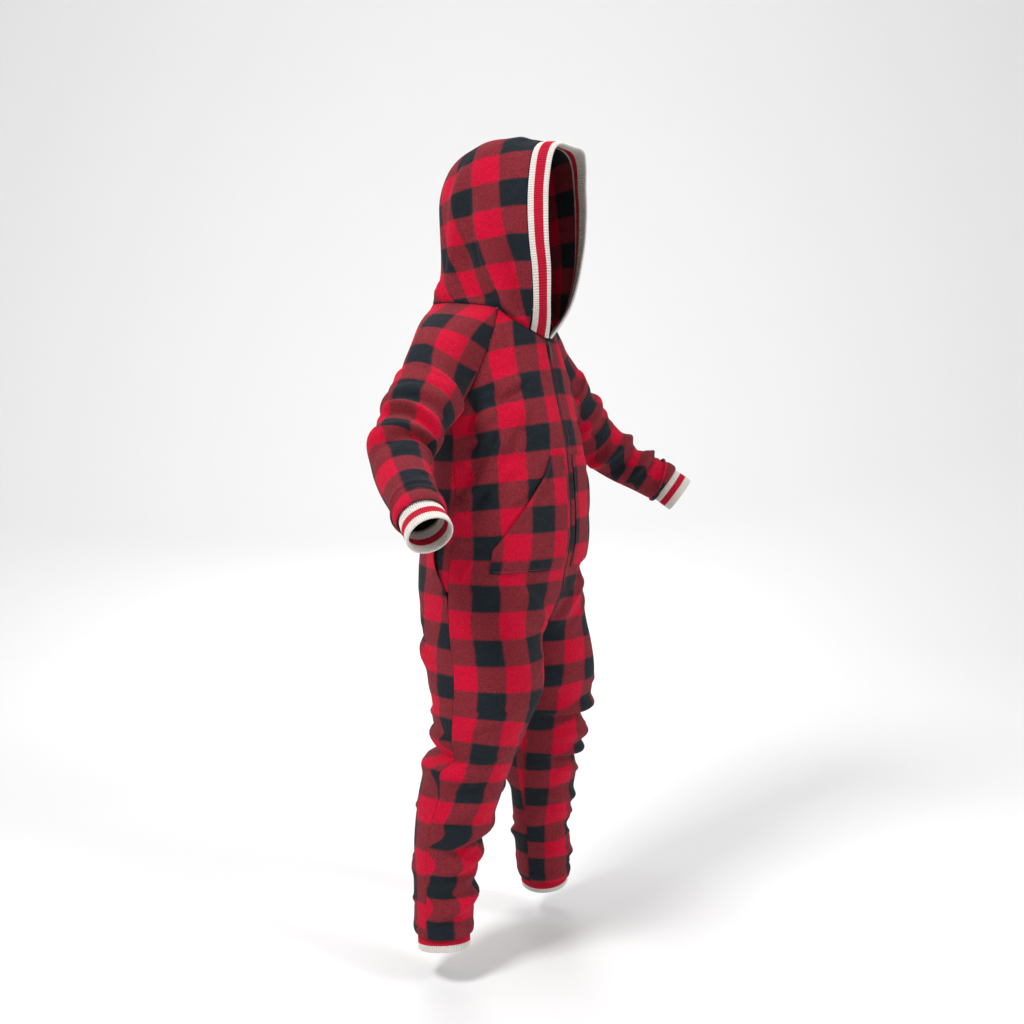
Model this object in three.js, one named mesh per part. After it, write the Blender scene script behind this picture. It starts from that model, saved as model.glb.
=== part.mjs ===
// Hooded one-piece fleece pajama with a centre-front zip, raglan sleeves, split
// kangaroo pocket, buttoned drop seat and striped rib trims.
// Millimetres. +Z up, the wearer faces -Y, +X is the wearer's left.
// Heights in the tables are measured from the ankle hem; the whole part is then
// lowered by HEM_TO_SHOULDER so that the origin lies between the shoulders.
import * as THREE from 'three';

const HEM_TO_SHOULDER = 1100;
const CLOTH = 2.4;
const SEAM_GAP = 0.2;
const RIB_WALL = 2.2;
const UNDERARM_H = 934;
const CROTCH_H = 430;
const BACK_NECK_H = 1132;
const ZIP_BOTTOM_H = 574;
const CHAIN_HALF = 2.4;
const FLAP_BOTTOM_H = 612;
const FLAP_TOP_H = 772;
const POCKET_BOTTOM_H = 669;
const POCKET_CORNER_H = 710;
const POCKET_TOP_H = 868;
const RIGHT = -1;
const LEFT = 1;

const RED = 0xb3142c;
const DARK_RED = 0x7a2229;
const CREAM = 0xd9d2c6;
const BLACK = 0x1d1f22;

// Rows: height, half width, front line y, back line y.
const TORSO = [
  [430, 160, -92, 68], [500, 164, -110, 88], [560, 168, -125, 104],
  [600, 169, -135, 112], [654, 169, -146, 118], [707, 167, -157, 118],
  [750, 164, -159, 118], [793, 160, -158, 116], [852, 155, -153, 116],
  [903, 152, -146, 120], [954, 148, -133, 126], [1000, 139, -122, 129],
  [1040, 126, -113, 129], [1080, 112, -104, 126], [1122, 97, -93, 121],
  [1150, 90, -88, 119],
];
// Rows: height, y of the centre-front line down to the crotch.
const FRONT_RISE = [
  [430, -14], [437, -42], [448, -63], [464, -77], [489, -88], [510, -92],
  [546, -99], [576, -117], [591, -125], [627, -141], [654, -146], [707, -157],
];
// Rows: height, y of the centre-back line down to the crotch.
const BACK_RISE = [
  [430, -14], [437, 14], [450, 35], [475, 54], [510, 72], [560, 92],
  [600, 106], [654, 117], [707, 118],
];
// Rows: height, centre x, centre y, half width, half depth.
const LEG_RIGHT = [
  [16, 163.9, 2.9, 50.4, 50.4], [30, 161, 5.8, 54, 54], [42, 159, 7, 53, 53],
  [93, 155, 6, 55.6, 55.6], [142, 148, 9, 58, 58], [196, 143, 4, 64, 64],
  [247, 135, -7, 72, 72], [300, 128, -19, 75, 76], [354, 117, -34, 77, 78],
  [400, 104, -38, 88, 88], [430, 95, -38, 95, 98], [500, 91, -35, 91, 116],
  [600, 87, -22, 87, 138], [700, 85, -14, 85, 142],
];
const LEG_LEFT = [
  [16, 164.3, -0.5, 50.4, 50.4], [30, 162, -1, 54, 54], [42, 159.5, -1, 53, 53],
  [93, 155, -2, 55, 55], [142, 148, -5, 56.7, 56.7], [196, 143, -8, 61, 61],
  [247, 135, -15, 67, 67], [300, 128, -24, 71, 72], [354, 117, -35, 76, 78],
  [400, 104, -38, 88, 89], [430, 95, -38, 95, 98], [500, 91, -35, 91, 116],
  [600, 87, -22, 87, 138], [700, 85, -14, 85, 142],
];
// Rows: height, share of the half ring where the front raglan seam lies.
const RAGLAN_FRONT = [[934, 0.5], [955, 0.455], [977, 0.415], [1040, 0.345], [1122, 0.28]];
// Rows: height, share of the half ring where the back raglan seam lies.
const RAGLAN_BACK = [[934, 0.5], [955, 0.55], [985, 0.6], [1050, 0.67], [1132, 0.74]];
// Rows: station, centre x, y, height and radius from the wrist seam to the underarm.
const ARM = [
  [0, 400, -138, 791, 39.5], [0.06, 396, -132, 796, 42], [0.16, 388, -122, 801, 40],
  [0.3, 371, -98, 817, 41], [0.45, 345, -62, 842, 44.5], [0.6, 313, -28, 878, 50],
  [0.76, 275, -16, 914, 53], [0.88, 245, -9, 943, 56], [1, 206, -2, 977, 62],
];
// Rows: share of the raglan, x, y, height of the line over the shoulder.
const SHOULDER = [
  [0, 245, -2, 1021], [0.3, 224, 5, 1055], [0.6, 186, 12, 1088], [0.82, 142, 16, 1113],
  [1, 88, 18, 1134],
];
const CUFF_END = [415, -167, 768];
const WRIST_RADIUS = 36.5;
const ANKLE_RADIUS = 46;
const ANKLE_END = [167, 0, 0];
const ANKLE_TOP_H = 34;

// Seam of the rib band on the hood and the band's free fold, half width first.
const BAND_SEAM = [
  [0, -114, 1408], [42, -116, 1401], [66, -118, 1379], [77, -118, 1332],
  [81, -119, 1285], [79, -121, 1235], [72, -123, 1187], [60, -118, 1135],
  [49, -109, 1104], [39, -98.5, 1087.5],
];
const BAND_FOLD = [
  [0, -158, 1400], [41, -157, 1398], [57, -154, 1377], [64, -151, 1332],
  [66, -151, 1290], [62, -150, 1238], [51, -148, 1190], [38, -140, 1137],
  [22, -128, 1104], [5, -111, 1083],
];
// Centre seam of the hood from its front over the crown to the nape.
const HOOD_CENTRE = [
  [0, -114, 1408], [0, -78, 1416], [0, -30, 1418], [0, 12, 1415],
  [0, 56, 1400], [0, 88, 1374], [0, 107, 1330], [0, 106, 1268],
  [0, 100, 1200], [0, 120, 1133.5],
];

// Folds pressed into the fleece: side, height and ring share at both ends,
// half width of the fold and its rise, in millimetres.
const BODY_FOLDS = [
  [RIGHT, 905, 0.27, 780, 0.47, 15, 7], [RIGHT, 890, 0.33, 790, 0.5, 13, -6],
  [RIGHT, 975, 0.38, 880, 0.44, 12, -6], [RIGHT, 960, 0.33, 860, 0.37, 15, 5],
  [RIGHT, 357, 0.75, 345, 0.45, 13, -9], [RIGHT, 378, 0.78, 368, 0.52, 14, 7],
  [RIGHT, 328, 0.8, 322, 0.4, 15, 8], [RIGHT, 300, 0.3, 262, 0.6, 16, -5],
  [RIGHT, 222, 0.12, 196, 0.42, 12, 6], [RIGHT, 200, 0.1, 172, 0.4, 9, -6],
  [RIGHT, 166, 0.1, 140, 0.45, 11, 5], [RIGHT, 120, 0.06, 92, 0.4, 10, -5],
  [RIGHT, 96, 0.08, 66, 0.45, 12, 5],
  [LEFT, 905, 0.28, 800, 0.46, 15, 6], [LEFT, 970, 0.39, 885, 0.45, 12, -6],
  [LEFT, 392, 0.1, 384, 0.42, 13, 7], [LEFT, 370, 0.1, 358, 0.45, 12, -8],
  [LEFT, 335, 0.12, 322, 0.45, 14, 6], [LEFT, 300, 0.1, 290, 0.42, 11, 6],
  [LEFT, 284, 0.12, 268, 0.4, 10, -6], [LEFT, 210, 0.1, 180, 0.42, 12, 5],
  [LEFT, 150, 0.08, 118, 0.42, 11, -5], [LEFT, 92, 0.1, 62, 0.4, 12, 5],
  [LEFT, 352, 0.62, 340, 0.86, 14, -7], [LEFT, 322, 0.58, 314, 0.88, 15, 6],
  [RIGHT, 650, 0.24, 560, 0.06, 18, 5], [LEFT, 640, 0.2, 566, 0.05, 16, 5],
  [LEFT, 655, 0.3, 648, 0.12, 12, -6],
  [RIGHT, 1010, 0.78, 930, 0.6, 15, 5], [RIGHT, 900, 0.62, 800, 0.8, 17, -5],
  [LEFT, 1000, 0.76, 915, 0.6, 14, 5], [LEFT, 880, 0.58, 815, 0.84, 16, -6],
  [RIGHT, 560, 0.88, 500, 0.6, 16, 6], [LEFT, 570, 0.9, 520, 0.62, 15, 5],
  [LEFT, 470, 0.88, 440, 0.6, 14, -5], [RIGHT, 455, 0.9, 425, 0.62, 13, -5],
  [LEFT, 230, 0.9, 190, 0.6, 13, 5], [RIGHT, 180, 0.92, 130, 0.62, 12, 5],
  [LEFT, 120, 0.92, 80, 0.6, 11, 5],
];
// Folds round the sleeves: side, station and girth share at both ends,
// half width and rise.
const ARM_FOLDS = [
  [RIGHT, 0.9, 0.3, 0.84, 0.85, 11, 7], [RIGHT, 0.83, 0.2, 0.78, 0.8, 9, -6],
  [RIGHT, 0.73, 0.15, 0.7, 0.9, 12, 8], [RIGHT, 0.66, 0.1, 0.62, 0.5, 8, -5],
  [RIGHT, 0.62, 0.6, 0.6, 0.9, 12, 5], [RIGHT, 0.12, 0.3, 0.12, 0.9, 7, 3],
  [LEFT, 0.93, 0.35, 0.86, 0.7, 10, -7], [LEFT, 0.8, 0.1, 0.84, 0.45, 13, 5],
  [LEFT, 0.56, 0.02, 0.44, 0.62, 11, 8], [LEFT, 0.47, 0.02, 0.36, 0.6, 8, -6],
  [LEFT, 0.34, 0.2, 0.27, 0.62, 8, 6], [LEFT, 0.12, 0.1, 0.12, 0.9, 7, 4],
];

const group = new THREE.Group();
group.name = 'onesie_pajama';
group.position.z = 0;

function spline(rows, key) {
  const last = rows.length - 1;
  const rising = rows[last][0] > rows[0][0];
  const value = Math.min(Math.max(key, Math.min(rows[0][0], rows[last][0])),
    Math.max(rows[0][0], rows[last][0]));
  let i = 0;
  while (i < last - 1 && (rising ? rows[i + 1][0] <= value : rows[i + 1][0] >= value)) {
    i += 1;
  }
  const t = (value - rows[i][0]) / (rows[i + 1][0] - rows[i][0]);
  const span = rows[i + 1][0] - rows[i][0];
  return rows[i].slice(1).map((a, k) => {
    const b = rows[i + 1][k + 1];
    const mean = (b - a) / span;
    const before = i > 0 ? (a - rows[i - 1][k + 1]) / (rows[i][0] - rows[i - 1][0]) : mean;
    const after = i < last - 1
      ? (rows[i + 2][k + 1] - b) / (rows[i + 2][0] - rows[i + 1][0]) : mean;
    const start = 0.5 * (before + mean) * span;
    const end = 0.5 * (mean + after) * span;
    const t2 = t * t;
    const t3 = t2 * t;
    return a * (2 * t3 - 3 * t2 + 1) + b * (3 * t2 - 2 * t3)
      + start * (t3 - 2 * t2 + t) + end * (t3 - t2);
  });
}

function track(points, share) {
  const last = points.length - 1;
  return spline(points.map((p, i) => [i / last, ...p]), share);
}

function smooth(from, to, value) {
  const t = Math.min(Math.max((value - from) / (to - from), 0), 1);
  return t * t * (3 - 2 * t);
}

function add(a, b, scale = 1) {
  return [a[0] + b[0] * scale, a[1] + b[1] * scale, a[2] + b[2] * scale];
}

function sub(a, b) {
  return add(a, b, -1);
}

function dot(a, b) {
  return a[0] * b[0] + a[1] * b[1] + a[2] * b[2];
}

function cross(a, b) {
  return [a[1] * b[2] - a[2] * b[1], a[2] * b[0] - a[0] * b[2], a[0] * b[1] - a[1] * b[0]];
}

function unit(a) {
  const size = Math.hypot(...a) || 1;
  return [a[0] / size, a[1] / size, a[2] / size];
}

function mix(a, b, w) {
  return [0, 1, 2].map((k) => a[k] * (1 - w) + b[k] * w);
}

// Height of a fold at a point, both in millimetres of cloth.
function foldAt(point, from, to, width, rise) {
  const along = [to[0] - from[0], to[1] - from[1]];
  const length2 = along[0] ** 2 + along[1] ** 2;
  const rel = [point[0] - from[0], point[1] - from[1]];
  const t = (rel[0] * along[0] + rel[1] * along[1]) / length2;
  const off = (rel[0] * along[1] - rel[1] * along[0]) / Math.sqrt(length2);
  const ends = smooth(-0.15, 0.2, t) * (1 - smooth(0.8, 1.15, t));
  return rise * ends * Math.exp(-((off / width) ** 2));
}

function bodyFolds(side, height, share) {
  const girth = height > CROTCH_H ? 470 : 420;
  const here = [share * girth, height];
  return BODY_FOLDS.filter((f) => f[0] === side).reduce((sum, f) => sum
    + foldAt(here, [f[2] * girth, f[1]], [f[4] * girth, f[3]], f[5], f[6]), 0);
}

// Half ring of the body: share 0 at the centre front or inseam, 0.5 at the side
// seam, 1 at the centre back or inseam.
function ringPoint(side, height, share) {
  const [half, front, back] = spline(TORSO, height);
  const [cx, cy, rx, ry] = spline(side === RIGHT ? LEG_RIGHT : LEG_LEFT, height);
  const turn = Math.PI * share;
  const middle = (front + back) / 2;
  const depth = (back - front) / 2;
  const cosine = Math.cos(turn);
  const torso = [
    half * Math.abs(Math.sin(turn)) ** 0.92,
    middle - depth * Math.sign(cosine) * Math.abs(cosine) ** 0.92,
  ];
  const leg = [cx - rx * Math.cos(2 * turn), cy - ry * Math.sin(2 * turn)];
  const w = 1 - smooth(CROTCH_H, 690, height);
  const x = torso[0] * (1 - w) + leg[0] * w;
  let y = torso[1] * (1 - w) + leg[1] * w;
  if (height >= CROTCH_H && height < 700) {
    const frontNow = front * (1 - w) + cy * w;
    const backNow = back * (1 - w) + cy * w;
    const nearFront = Math.max(0, 1 - share / 0.24) ** 2;
    const nearBack = Math.max(0, 1 - (1 - share) / 0.26) ** 2;
    const fade = 1 - smooth(640, 700, height);
    y += fade * nearFront * (spline(FRONT_RISE, height)[0] - frontNow);
    y += fade * nearBack * (spline(BACK_RISE, height)[0] - backNow);
  } else if (height < CROTCH_H) {
    const drop = 1 - smooth(CROTCH_H - 50, CROTCH_H, height);
    const toCrotch = (1 - drop) * (spline(FRONT_RISE, CROTCH_H)[0] - cy);
    const end = Math.min(Math.abs(share), Math.abs(1 - share));
    y += toCrotch * Math.max(0, 1 - end / 0.25) ** 2;
  }
  return [side * Math.max(x, 0), y, height];
}

function legCentre(side, height) {
  const [cx, cy] = spline(side === RIGHT ? LEG_RIGHT : LEG_LEFT, Math.min(height, 700));
  return [side * cx, cy, height];
}

function normalOf(surface, a, b, stepA, stepB, inside) {
  const da = sub(surface(a + stepA, b), surface(a - stepA, b));
  const db = sub(surface(a, b + stepB), surface(a, b - stepB));
  const n = unit(cross(da, db));
  return dot(n, sub(surface(a, b), inside)) < 0 ? [-n[0], -n[1], -n[2]] : n;
}

function bodyNormal(side, height, share) {
  const open = height > CROTCH_H;
  const safe = open ? Math.min(Math.max(share, 0.012), 0.988) : share;
  const bare = (h, u) => ringPoint(side, h, u);
  return normalOf(bare, height, safe, 2, 0.01, legCentre(side, height));
}

function bodyPoint(side, height, share, lift = 0) {
  const n = bodyNormal(side, height, share);
  let quiet = smooth(0, 0.05, share) * smooth(0, 0.05, 1 - share);
  if (height > UNDERARM_H - 30) {
    const seam = spline(share < 0.5 ? RAGLAN_FRONT : RAGLAN_BACK, height)[0];
    const near = Math.max(Math.abs(share - seam), (UNDERARM_H - height) / 400);
    quiet *= smooth(0.002, 0.06, near);
  }
  const rise = bodyFolds(side, height, share) * quiet;
  return { point: add(ringPoint(side, height, share), n, rise + lift), normal: n };
}

function armFrame(side, station) {
  const at = (s) => {
    const [x, y, z] = spline(ARM, s);
    return [side * x, y, z];
  };
  const ahead = unit(sub(at(Math.max(station - 0.02, 0)), at(Math.min(station + 0.02, 1))));
  const up = unit(sub([0, 0, 1], ahead.map((v) => v * ahead[2])));
  const front = unit(cross(ahead, up).map((v) => side * v));
  return { centre: at(station), radius: spline(ARM, station)[3], ahead, up, front };
}

function armFolds(side, station, share) {
  const here = [share * 320, station * 330];
  return ARM_FOLDS.filter((f) => f[0] === side).reduce((sum, f) => sum
    + foldAt(here, [f[2] * 320, f[1] * 330], [f[4] * 320, f[3] * 330], f[5], f[6]), 0);
}

function armRing(side, station, share) {
  const { centre, radius, up, front } = armFrame(side, station);
  const turn = 2 * Math.PI * share;
  const out = mix([0, 0, 0], up, -Math.cos(turn));
  return add(centre, add(out, front, Math.sin(turn)), radius);
}

function raglanEnd(side, share, isFront) {
  const top = isFront ? 1122 : BACK_NECK_H;
  const height = UNDERARM_H + share * (top - UNDERARM_H);
  const table = isFront ? RAGLAN_FRONT : RAGLAN_BACK;
  return ringPoint(side, height, spline(table, height)[0]);
}

// Sleeve: station 0 at the cuff, 1 at the underarm, 2 at the neckline; share 0
// and 1 at the underarm or raglan seams, 0.5 along the top.
function sleeveSurface(side, station, share) {
  if (station <= 1) {
    const level = 1 - smooth(0.86, 1, station);
    const ring = armRing(side, station, share);
    const end = Math.max(0, 1 - Math.min(share, 1 - share) / 0.3) ** 2;
    const pull = sub(raglanEnd(side, 0, true), armRing(side, 1, 0));
    return add(ring, pull, (1 - level) * end);
  }
  const rise = station - 1;
  const first = raglanEnd(side, rise, true);
  const last = raglanEnd(side, rise, false);
  const [tx, ty, tz] = spline(SHOULDER, rise);
  const middle = mix(first, last, 0.5);
  const turn = Math.PI * share;
  let arch = add(middle, sub(first, middle), Math.cos(turn));
  arch = add(arch, sub([side * tx, ty, tz], middle), Math.sin(turn) ** 0.8);
  let p = mix(armRing(side, 1, share), arch, smooth(-0.06, 0.6, rise));
  const armStart = mix(armRing(side, 1, 0), first, smooth(-0.06, 0.6, rise));
  const armEnd = mix(armRing(side, 1, 1), last, smooth(-0.06, 0.6, rise));
  p = add(p, sub(first, armStart), Math.max(0, 1 - share / 0.3) ** 2);
  return add(p, sub(last, armEnd), Math.max(0, 1 - (1 - share) / 0.3) ** 2);
}

function sleeveNormal(side, station, share) {
  const s = Math.min(Math.max(station, 0.012), 1.985);
  const v = Math.min(Math.max(share, 0.015), 0.985);
  const rise = Math.max(s - 1, 0);
  const inside = s <= 1 ? armFrame(side, s).centre : mix(
    armFrame(side, 1).centre, [side * 40, 15, 1080], smooth(0, 0.5, rise));
  return normalOf((a, b) => sleeveSurface(side, a, b), s, v, 0.01, 0.012, inside);
}

function seamNormal(side, rise, isFront) {
  const top = isFront ? 1122 : BACK_NECK_H;
  const height = UNDERARM_H + rise * (top - UNDERARM_H);
  const share = spline(isFront ? RAGLAN_FRONT : RAGLAN_BACK, height)[0];
  const body = bodyNormal(side, height, share);
  if (rise === 0) {
    const both = add(sleeveNormal(side, 1, 0.03), sleeveNormal(side, 1, 0.97));
    return unit(add(body, both, 0.5));
  }
  return unit(add(body, sleeveNormal(side, 1 + rise, isFront ? 0.03 : 0.97)));
}

// Half of the gap across a raglan seam, square to the mitre of both cloths.
function seamShift(side, rise, isFront) {
  const low = raglanEnd(side, Math.max(rise - 0.02, 0), isFront);
  const high = raglanEnd(side, Math.min(rise + 0.02, 1), isFront);
  const across = unit(cross(sub(high, low), seamNormal(side, rise, isFront)));
  const top = isFront ? 1122 : BACK_NECK_H;
  const height = UNDERARM_H + rise * (top - UNDERARM_H);
  const seam = spline(isFront ? RAGLAN_FRONT : RAGLAN_BACK, height)[0];
  const sleevePoint = sleeveSurface(side, 1 + rise, isFront ? 0.05 : 0.95);
  const panelPoint = ringPoint(side, height, seam + (isFront ? -0.04 : 0.04));
  const sign = dot(across, sub(sleevePoint, panelPoint)) < 0 ? -1 : 1;
  return across.map((v) => v * sign * 0.42);
}

// Closed sheet from a grid of outer points and a matching grid of inner points.
function sheet(name, outer, inner, color, closed = false) {
  const rows = outer.length;
  const cols = outer[0].length;
  const positions = [];
  outer.forEach((row) => row.forEach((p) => positions.push(...p)));
  inner.forEach((row) => row.forEach((p) => positions.push(...p)));
  const a = (i, j) => i * cols + (j % cols);
  const b = (i, j) => rows * cols + a(i, j);
  const index = [];
  const quad = (p, q, r, s) => index.push(p, q, r, p, r, s);
  const across = closed ? cols : cols - 1;
  for (let i = 0; i < rows - 1; i += 1) {
    for (let j = 0; j < across; j += 1) {
      quad(a(i, j), a(i, j + 1), a(i + 1, j + 1), a(i + 1, j));
      quad(b(i, j), b(i + 1, j), b(i + 1, j + 1), b(i, j + 1));
    }
    if (!closed) {
      quad(a(i, 0), a(i + 1, 0), b(i + 1, 0), b(i, 0));
      quad(a(i, cols - 1), b(i, cols - 1), b(i + 1, cols - 1), a(i + 1, cols - 1));
    }
  }
  for (let j = 0; j < across; j += 1) {
    quad(a(0, j), b(0, j), b(0, j + 1), a(0, j + 1));
    quad(a(rows - 1, j), a(rows - 1, j + 1), b(rows - 1, j + 1), b(rows - 1, j));
  }
  return solid(name, positions, index, color);
}

function solid(name, positions, index, color, roughness = 0.9) {
  let volume = 0;
  const at = (i) => positions.slice(3 * i, 3 * i + 3);
  for (let k = 0; k < index.length; k += 3) {
    volume += dot(at(index[k]), cross(at(index[k + 1]), at(index[k + 2])));
  }
  const faces = volume > 0 ? index : index.map((v, k) => index[k - (k % 3) + [0, 2, 1][k % 3]]);
  const lowered = positions.map((v, k) => (k % 3 === 2 ? v - HEM_TO_SHOULDER : v));
  const geometry = new THREE.BufferGeometry();
  geometry.setAttribute('position', new THREE.Float32BufferAttribute(lowered, 3));
  geometry.setIndex(faces);
  geometry.computeVertexNormals();
  const material = new THREE.MeshStandardMaterial({ color, roughness, metalness: 0 });
  const mesh = new THREE.Mesh(geometry, material);
  mesh.name = name;
  group.add(mesh);
  return mesh;
}

function steps(from, to, count) {
  return Array.from({ length: count + 1 }, (_, i) => from + ((to - from) * i) / count);
}

function keepSide(side, p, least) {
  return [side * Math.max(side * p[0], least), p[1], p[2]];
}

function chainSpace(height) {
  return SEAM_GAP + (CHAIN_HALF + 0.4 - SEAM_GAP) * smooth(ZIP_BOTTOM_H - 12, ZIP_BOTTOM_H - 3, height);
}

// Panel from a list of rows; each row lists [height, share, lift, normal or null].
function bodyPanel(name, side, rows, least, color, wall = CLOTH) {
  const outer = [];
  const inner = [];
  rows.forEach((row) => {
    const top = [];
    const under = [];
    row.forEach(([height, share, lift, given, shift]) => {
      const { point, normal } = bodyPoint(side, height, share, lift);
      const n = given || normal;
      const put = shift ? add(point, shift, -1) : point;
      top.push(keepSide(side, put, least(height)));
      under.push(keepSide(side, add(put, n, -wall), least(height)));
    });
    outer.push(top);
    inner.push(under);
  });
  return sheet(name, outer, inner, color);
}

const SEAM_SHARE = 0.0005;
const LEG_HEIGHTS = [
  16, 26, 40, 58, 78, 98, 118, 140, 162, 184, 208, 234, 258, 280, 302, 324, 346, 368, 398,
  CROTCH_H,
];
const RISE_HEIGHTS = [442, 460, 490, 525, 560, 572, 600];
const FLAP_HEIGHTS = [618, 634, 654, 680, 710, 742, FLAP_TOP_H];
const CHEST_HEIGHTS = [800, 828, 856, 882, 908, UNDERARM_H];
const RAGLAN_ROWS = 8;

function frontNeckHeight(across) {
  return 1075 + 47 * across ** 1.5;
}

function frontRow(height, columns) {
  return steps(0, 0.5 - SEAM_SHARE, columns).map((u) => [height, u, 0, null]);
}

function frontPanel(side, name) {
  const columns = 9;
  const heights = [...LEG_HEIGHTS, ...RISE_HEIGHTS, ...FLAP_HEIGHTS, ...CHEST_HEIGHTS];
  const rows = heights.map((h) => frontRow(h, columns));
  rows.forEach((row) => {
    row[0][1] = row[0][0] <= CROTCH_H ? SEAM_SHARE : 0;
  });
  rows[rows.length - 1][columns][3] = seamNormal(side, 0, true);
  rows[rows.length - 1][columns][4] = seamShift(side, 0, true);
  steps(0, 1, RAGLAN_ROWS).slice(1).forEach((r) => {
    rows.push(steps(0, 1, columns).map((across) => {
      const h = UNDERARM_H + r * (frontNeckHeight(across) - UNDERARM_H);
      const seam = spline(RAGLAN_FRONT, UNDERARM_H + r * (1122 - UNDERARM_H))[0] - SEAM_SHARE;
      const onSeam = across === 1;
      return [h, across * seam, 0, onSeam ? seamNormal(side, r, true) : null,
        onSeam ? seamShift(side, r, true) : null];
    }));
  });
  bodyPanel(name, side, rows, chainSpace, RED);
}

function flapEdge(height) {
  return 0.5 + SEAM_SHARE + 0.062 * smooth(FLAP_BOTTOM_H + 12, 700, height);
}

function flapLift(height, share) {
  const level = smooth(596, 634, height);
  const near = Math.max(0, 1 - (share - flapEdge(height)) / 0.1);
  return level * (CLOTH + 1.1) + 7 * near * near * smooth(622, 680, height) * (1 - smooth(735, 772, height));
}

function seatPanel(side, name) {
  const columns = 9;
  const heights = [...LEG_HEIGHTS, ...RISE_HEIGHTS, ...FLAP_HEIGHTS];
  const rows = heights.map((h) => {
    const start = flapEdge(h);
    const end = h <= CROTCH_H ? 1 - SEAM_SHARE : 1;
    return steps(start, end, columns).map((u) => [h, u, flapLift(h, u), null]);
  });
  bodyPanel(name, side, rows, () => SEAM_GAP, RED);
}

function backYoke() {
  const half = 8;
  const heights = [...FLAP_HEIGHTS.slice(1), ...CHEST_HEIGHTS];
  const halfRows = (side) => {
    const rows = heights.map((h) => steps(0.5 + SEAM_SHARE, 1, half).map((u) => [h, u, null]));
    rows[rows.length - 1][0][2] = seamNormal(side, 0, false);
    rows[rows.length - 1][0][3] = seamShift(side, 0, false);
    steps(0, 1, RAGLAN_ROWS).slice(1).forEach((r) => {
      rows.push(steps(0, 1, half).map((across) => {
        const h = UNDERARM_H + r * (BACK_NECK_H - UNDERARM_H);
        const seam = spline(RAGLAN_BACK, h)[0] + SEAM_SHARE;
        const u = seam + across * (1 - seam);
        const onSeam = across === 0;
        return [h, u, onSeam ? seamNormal(side, r, false) : null,
          onSeam ? seamShift(side, r, false) : null];
      }));
    });
    return rows;
  };
  const right = halfRows(RIGHT);
  const left = halfRows(LEFT);
  const outer = [];
  const inner = [];
  right.forEach((row, i) => {
    const cells = [
      ...row.map((c) => [RIGHT, ...c]),
      ...left[i].slice(0, -1).reverse().map((c) => [LEFT, ...c]),
    ];
    const made = cells.map(([side, h, u, given, shift]) => {
      const { point, normal } = bodyPoint(side, h, u);
      const n = u === 1 ? unit([0, normal[1], normal[2]]) : (given || normal);
      const put = shift ? add(point, shift, -1) : point;
      return [put, add(put, n, -CLOTH)];
    });
    outer.push(made.map((m) => m[0]));
    inner.push(made.map((m) => m[1]));
  });
  sheet('back_yoke', outer, inner, RED);
}

const SLEEVE_STATIONS = [
  0, 0.035, 0.08, 0.14, 0.2, 0.27, 0.34, 0.4, 0.46, 0.52, 0.58, 0.64, 0.69, 0.74, 0.79, 0.84,
  0.89, 0.94,
];

function sleeve(side, name) {
  const columns = 16;
  const stations = [...SLEEVE_STATIONS, ...steps(1, 2, RAGLAN_ROWS)];
  const outer = [];
  const inner = [];
  stations.forEach((s) => {
    const top = [];
    const under = [];
    steps(0.0008, 0.9992, columns).forEach((v, j) => {
      const n = sleeveNormal(side, s, v);
      const quiet = smooth(0, 0.06, v) * smooth(0, 0.06, 1 - v) * (1 - smooth(0.98, 1.1, s));
      const point = add(sleeveSurface(side, s, v), n, armFolds(side, s, v) * quiet);
      let back = n;
      let put = point;
      if (s >= 1 && (j === 0 || j === columns)) {
        back = seamNormal(side, s - 1, j === 0);
        put = add(point, seamShift(side, s - 1, j === 0));
      }
      top.push(put);
      under.push(add(put, back, -CLOTH));
    });
    outer.push(top);
    inner.push(under);
  });
  sheet(name, outer, inner, RED);
}

// Neckline from the centre front (0) over the sleeve strip to the centre back (1).
function neckline(side, share) {
  if (share <= 0.32) {
    const across = share / 0.32;
    return ringPoint(side, frontNeckHeight(across), across * spline(RAGLAN_FRONT, 1122)[0]);
  }
  if (share < 0.62) {
    return sleeveSurface(side, 2, (share - 0.32) / 0.3);
  }
  const seam = spline(RAGLAN_BACK, BACK_NECK_H)[0];
  return ringPoint(side, BACK_NECK_H, seam + ((share - 0.62) / 0.38) * (1 - seam));
}

const HOOD_START = 0.125;

// Half hood: across 0 at the band seam and 1 at the centre seam; down 0 at the
// front of the crown and 1 at the neckline.
function hoodSurface(side, across, down) {
  const [fx, fy, fz] = track(BAND_SEAM, down);
  const [, ky, kz] = track(HOOD_CENTRE, down);
  const open = smooth(0, 0.3, down);
  const seam = [side * fx, fy, fz];
  const centre = [0, ky, kz];
  const tip = smooth(-0.02, 0.06, down);
  const reach = 20 * tip + 88 * open;
  const handleSeam = add(seam, unit([side * 0.34, 0.94, 0.12 - 0.1 * down]), reach * 0.95);
  const handleCentre = add(centre, [side, 0, 0], 30 * tip + 66 * open);
  const t = across;
  const r = 1 - t;
  let p = [0, 1, 2].map((k) => r ** 3 * seam[k] + 3 * r * r * t * handleSeam[k]
    + 3 * r * t * t * handleCentre[k] + t ** 3 * centre[k]);
  if (down > 0.6) {
    const share = HOOD_START + (1 - HOOD_START) * across;
    const target = add(neckline(side, share), [0, 0, 1]);
    const bottom = hoodFree(side, across);
    p = add(p, sub(target, bottom), smooth(0.6, 1, down) ** 1.5);
  }
  return p;
}

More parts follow.
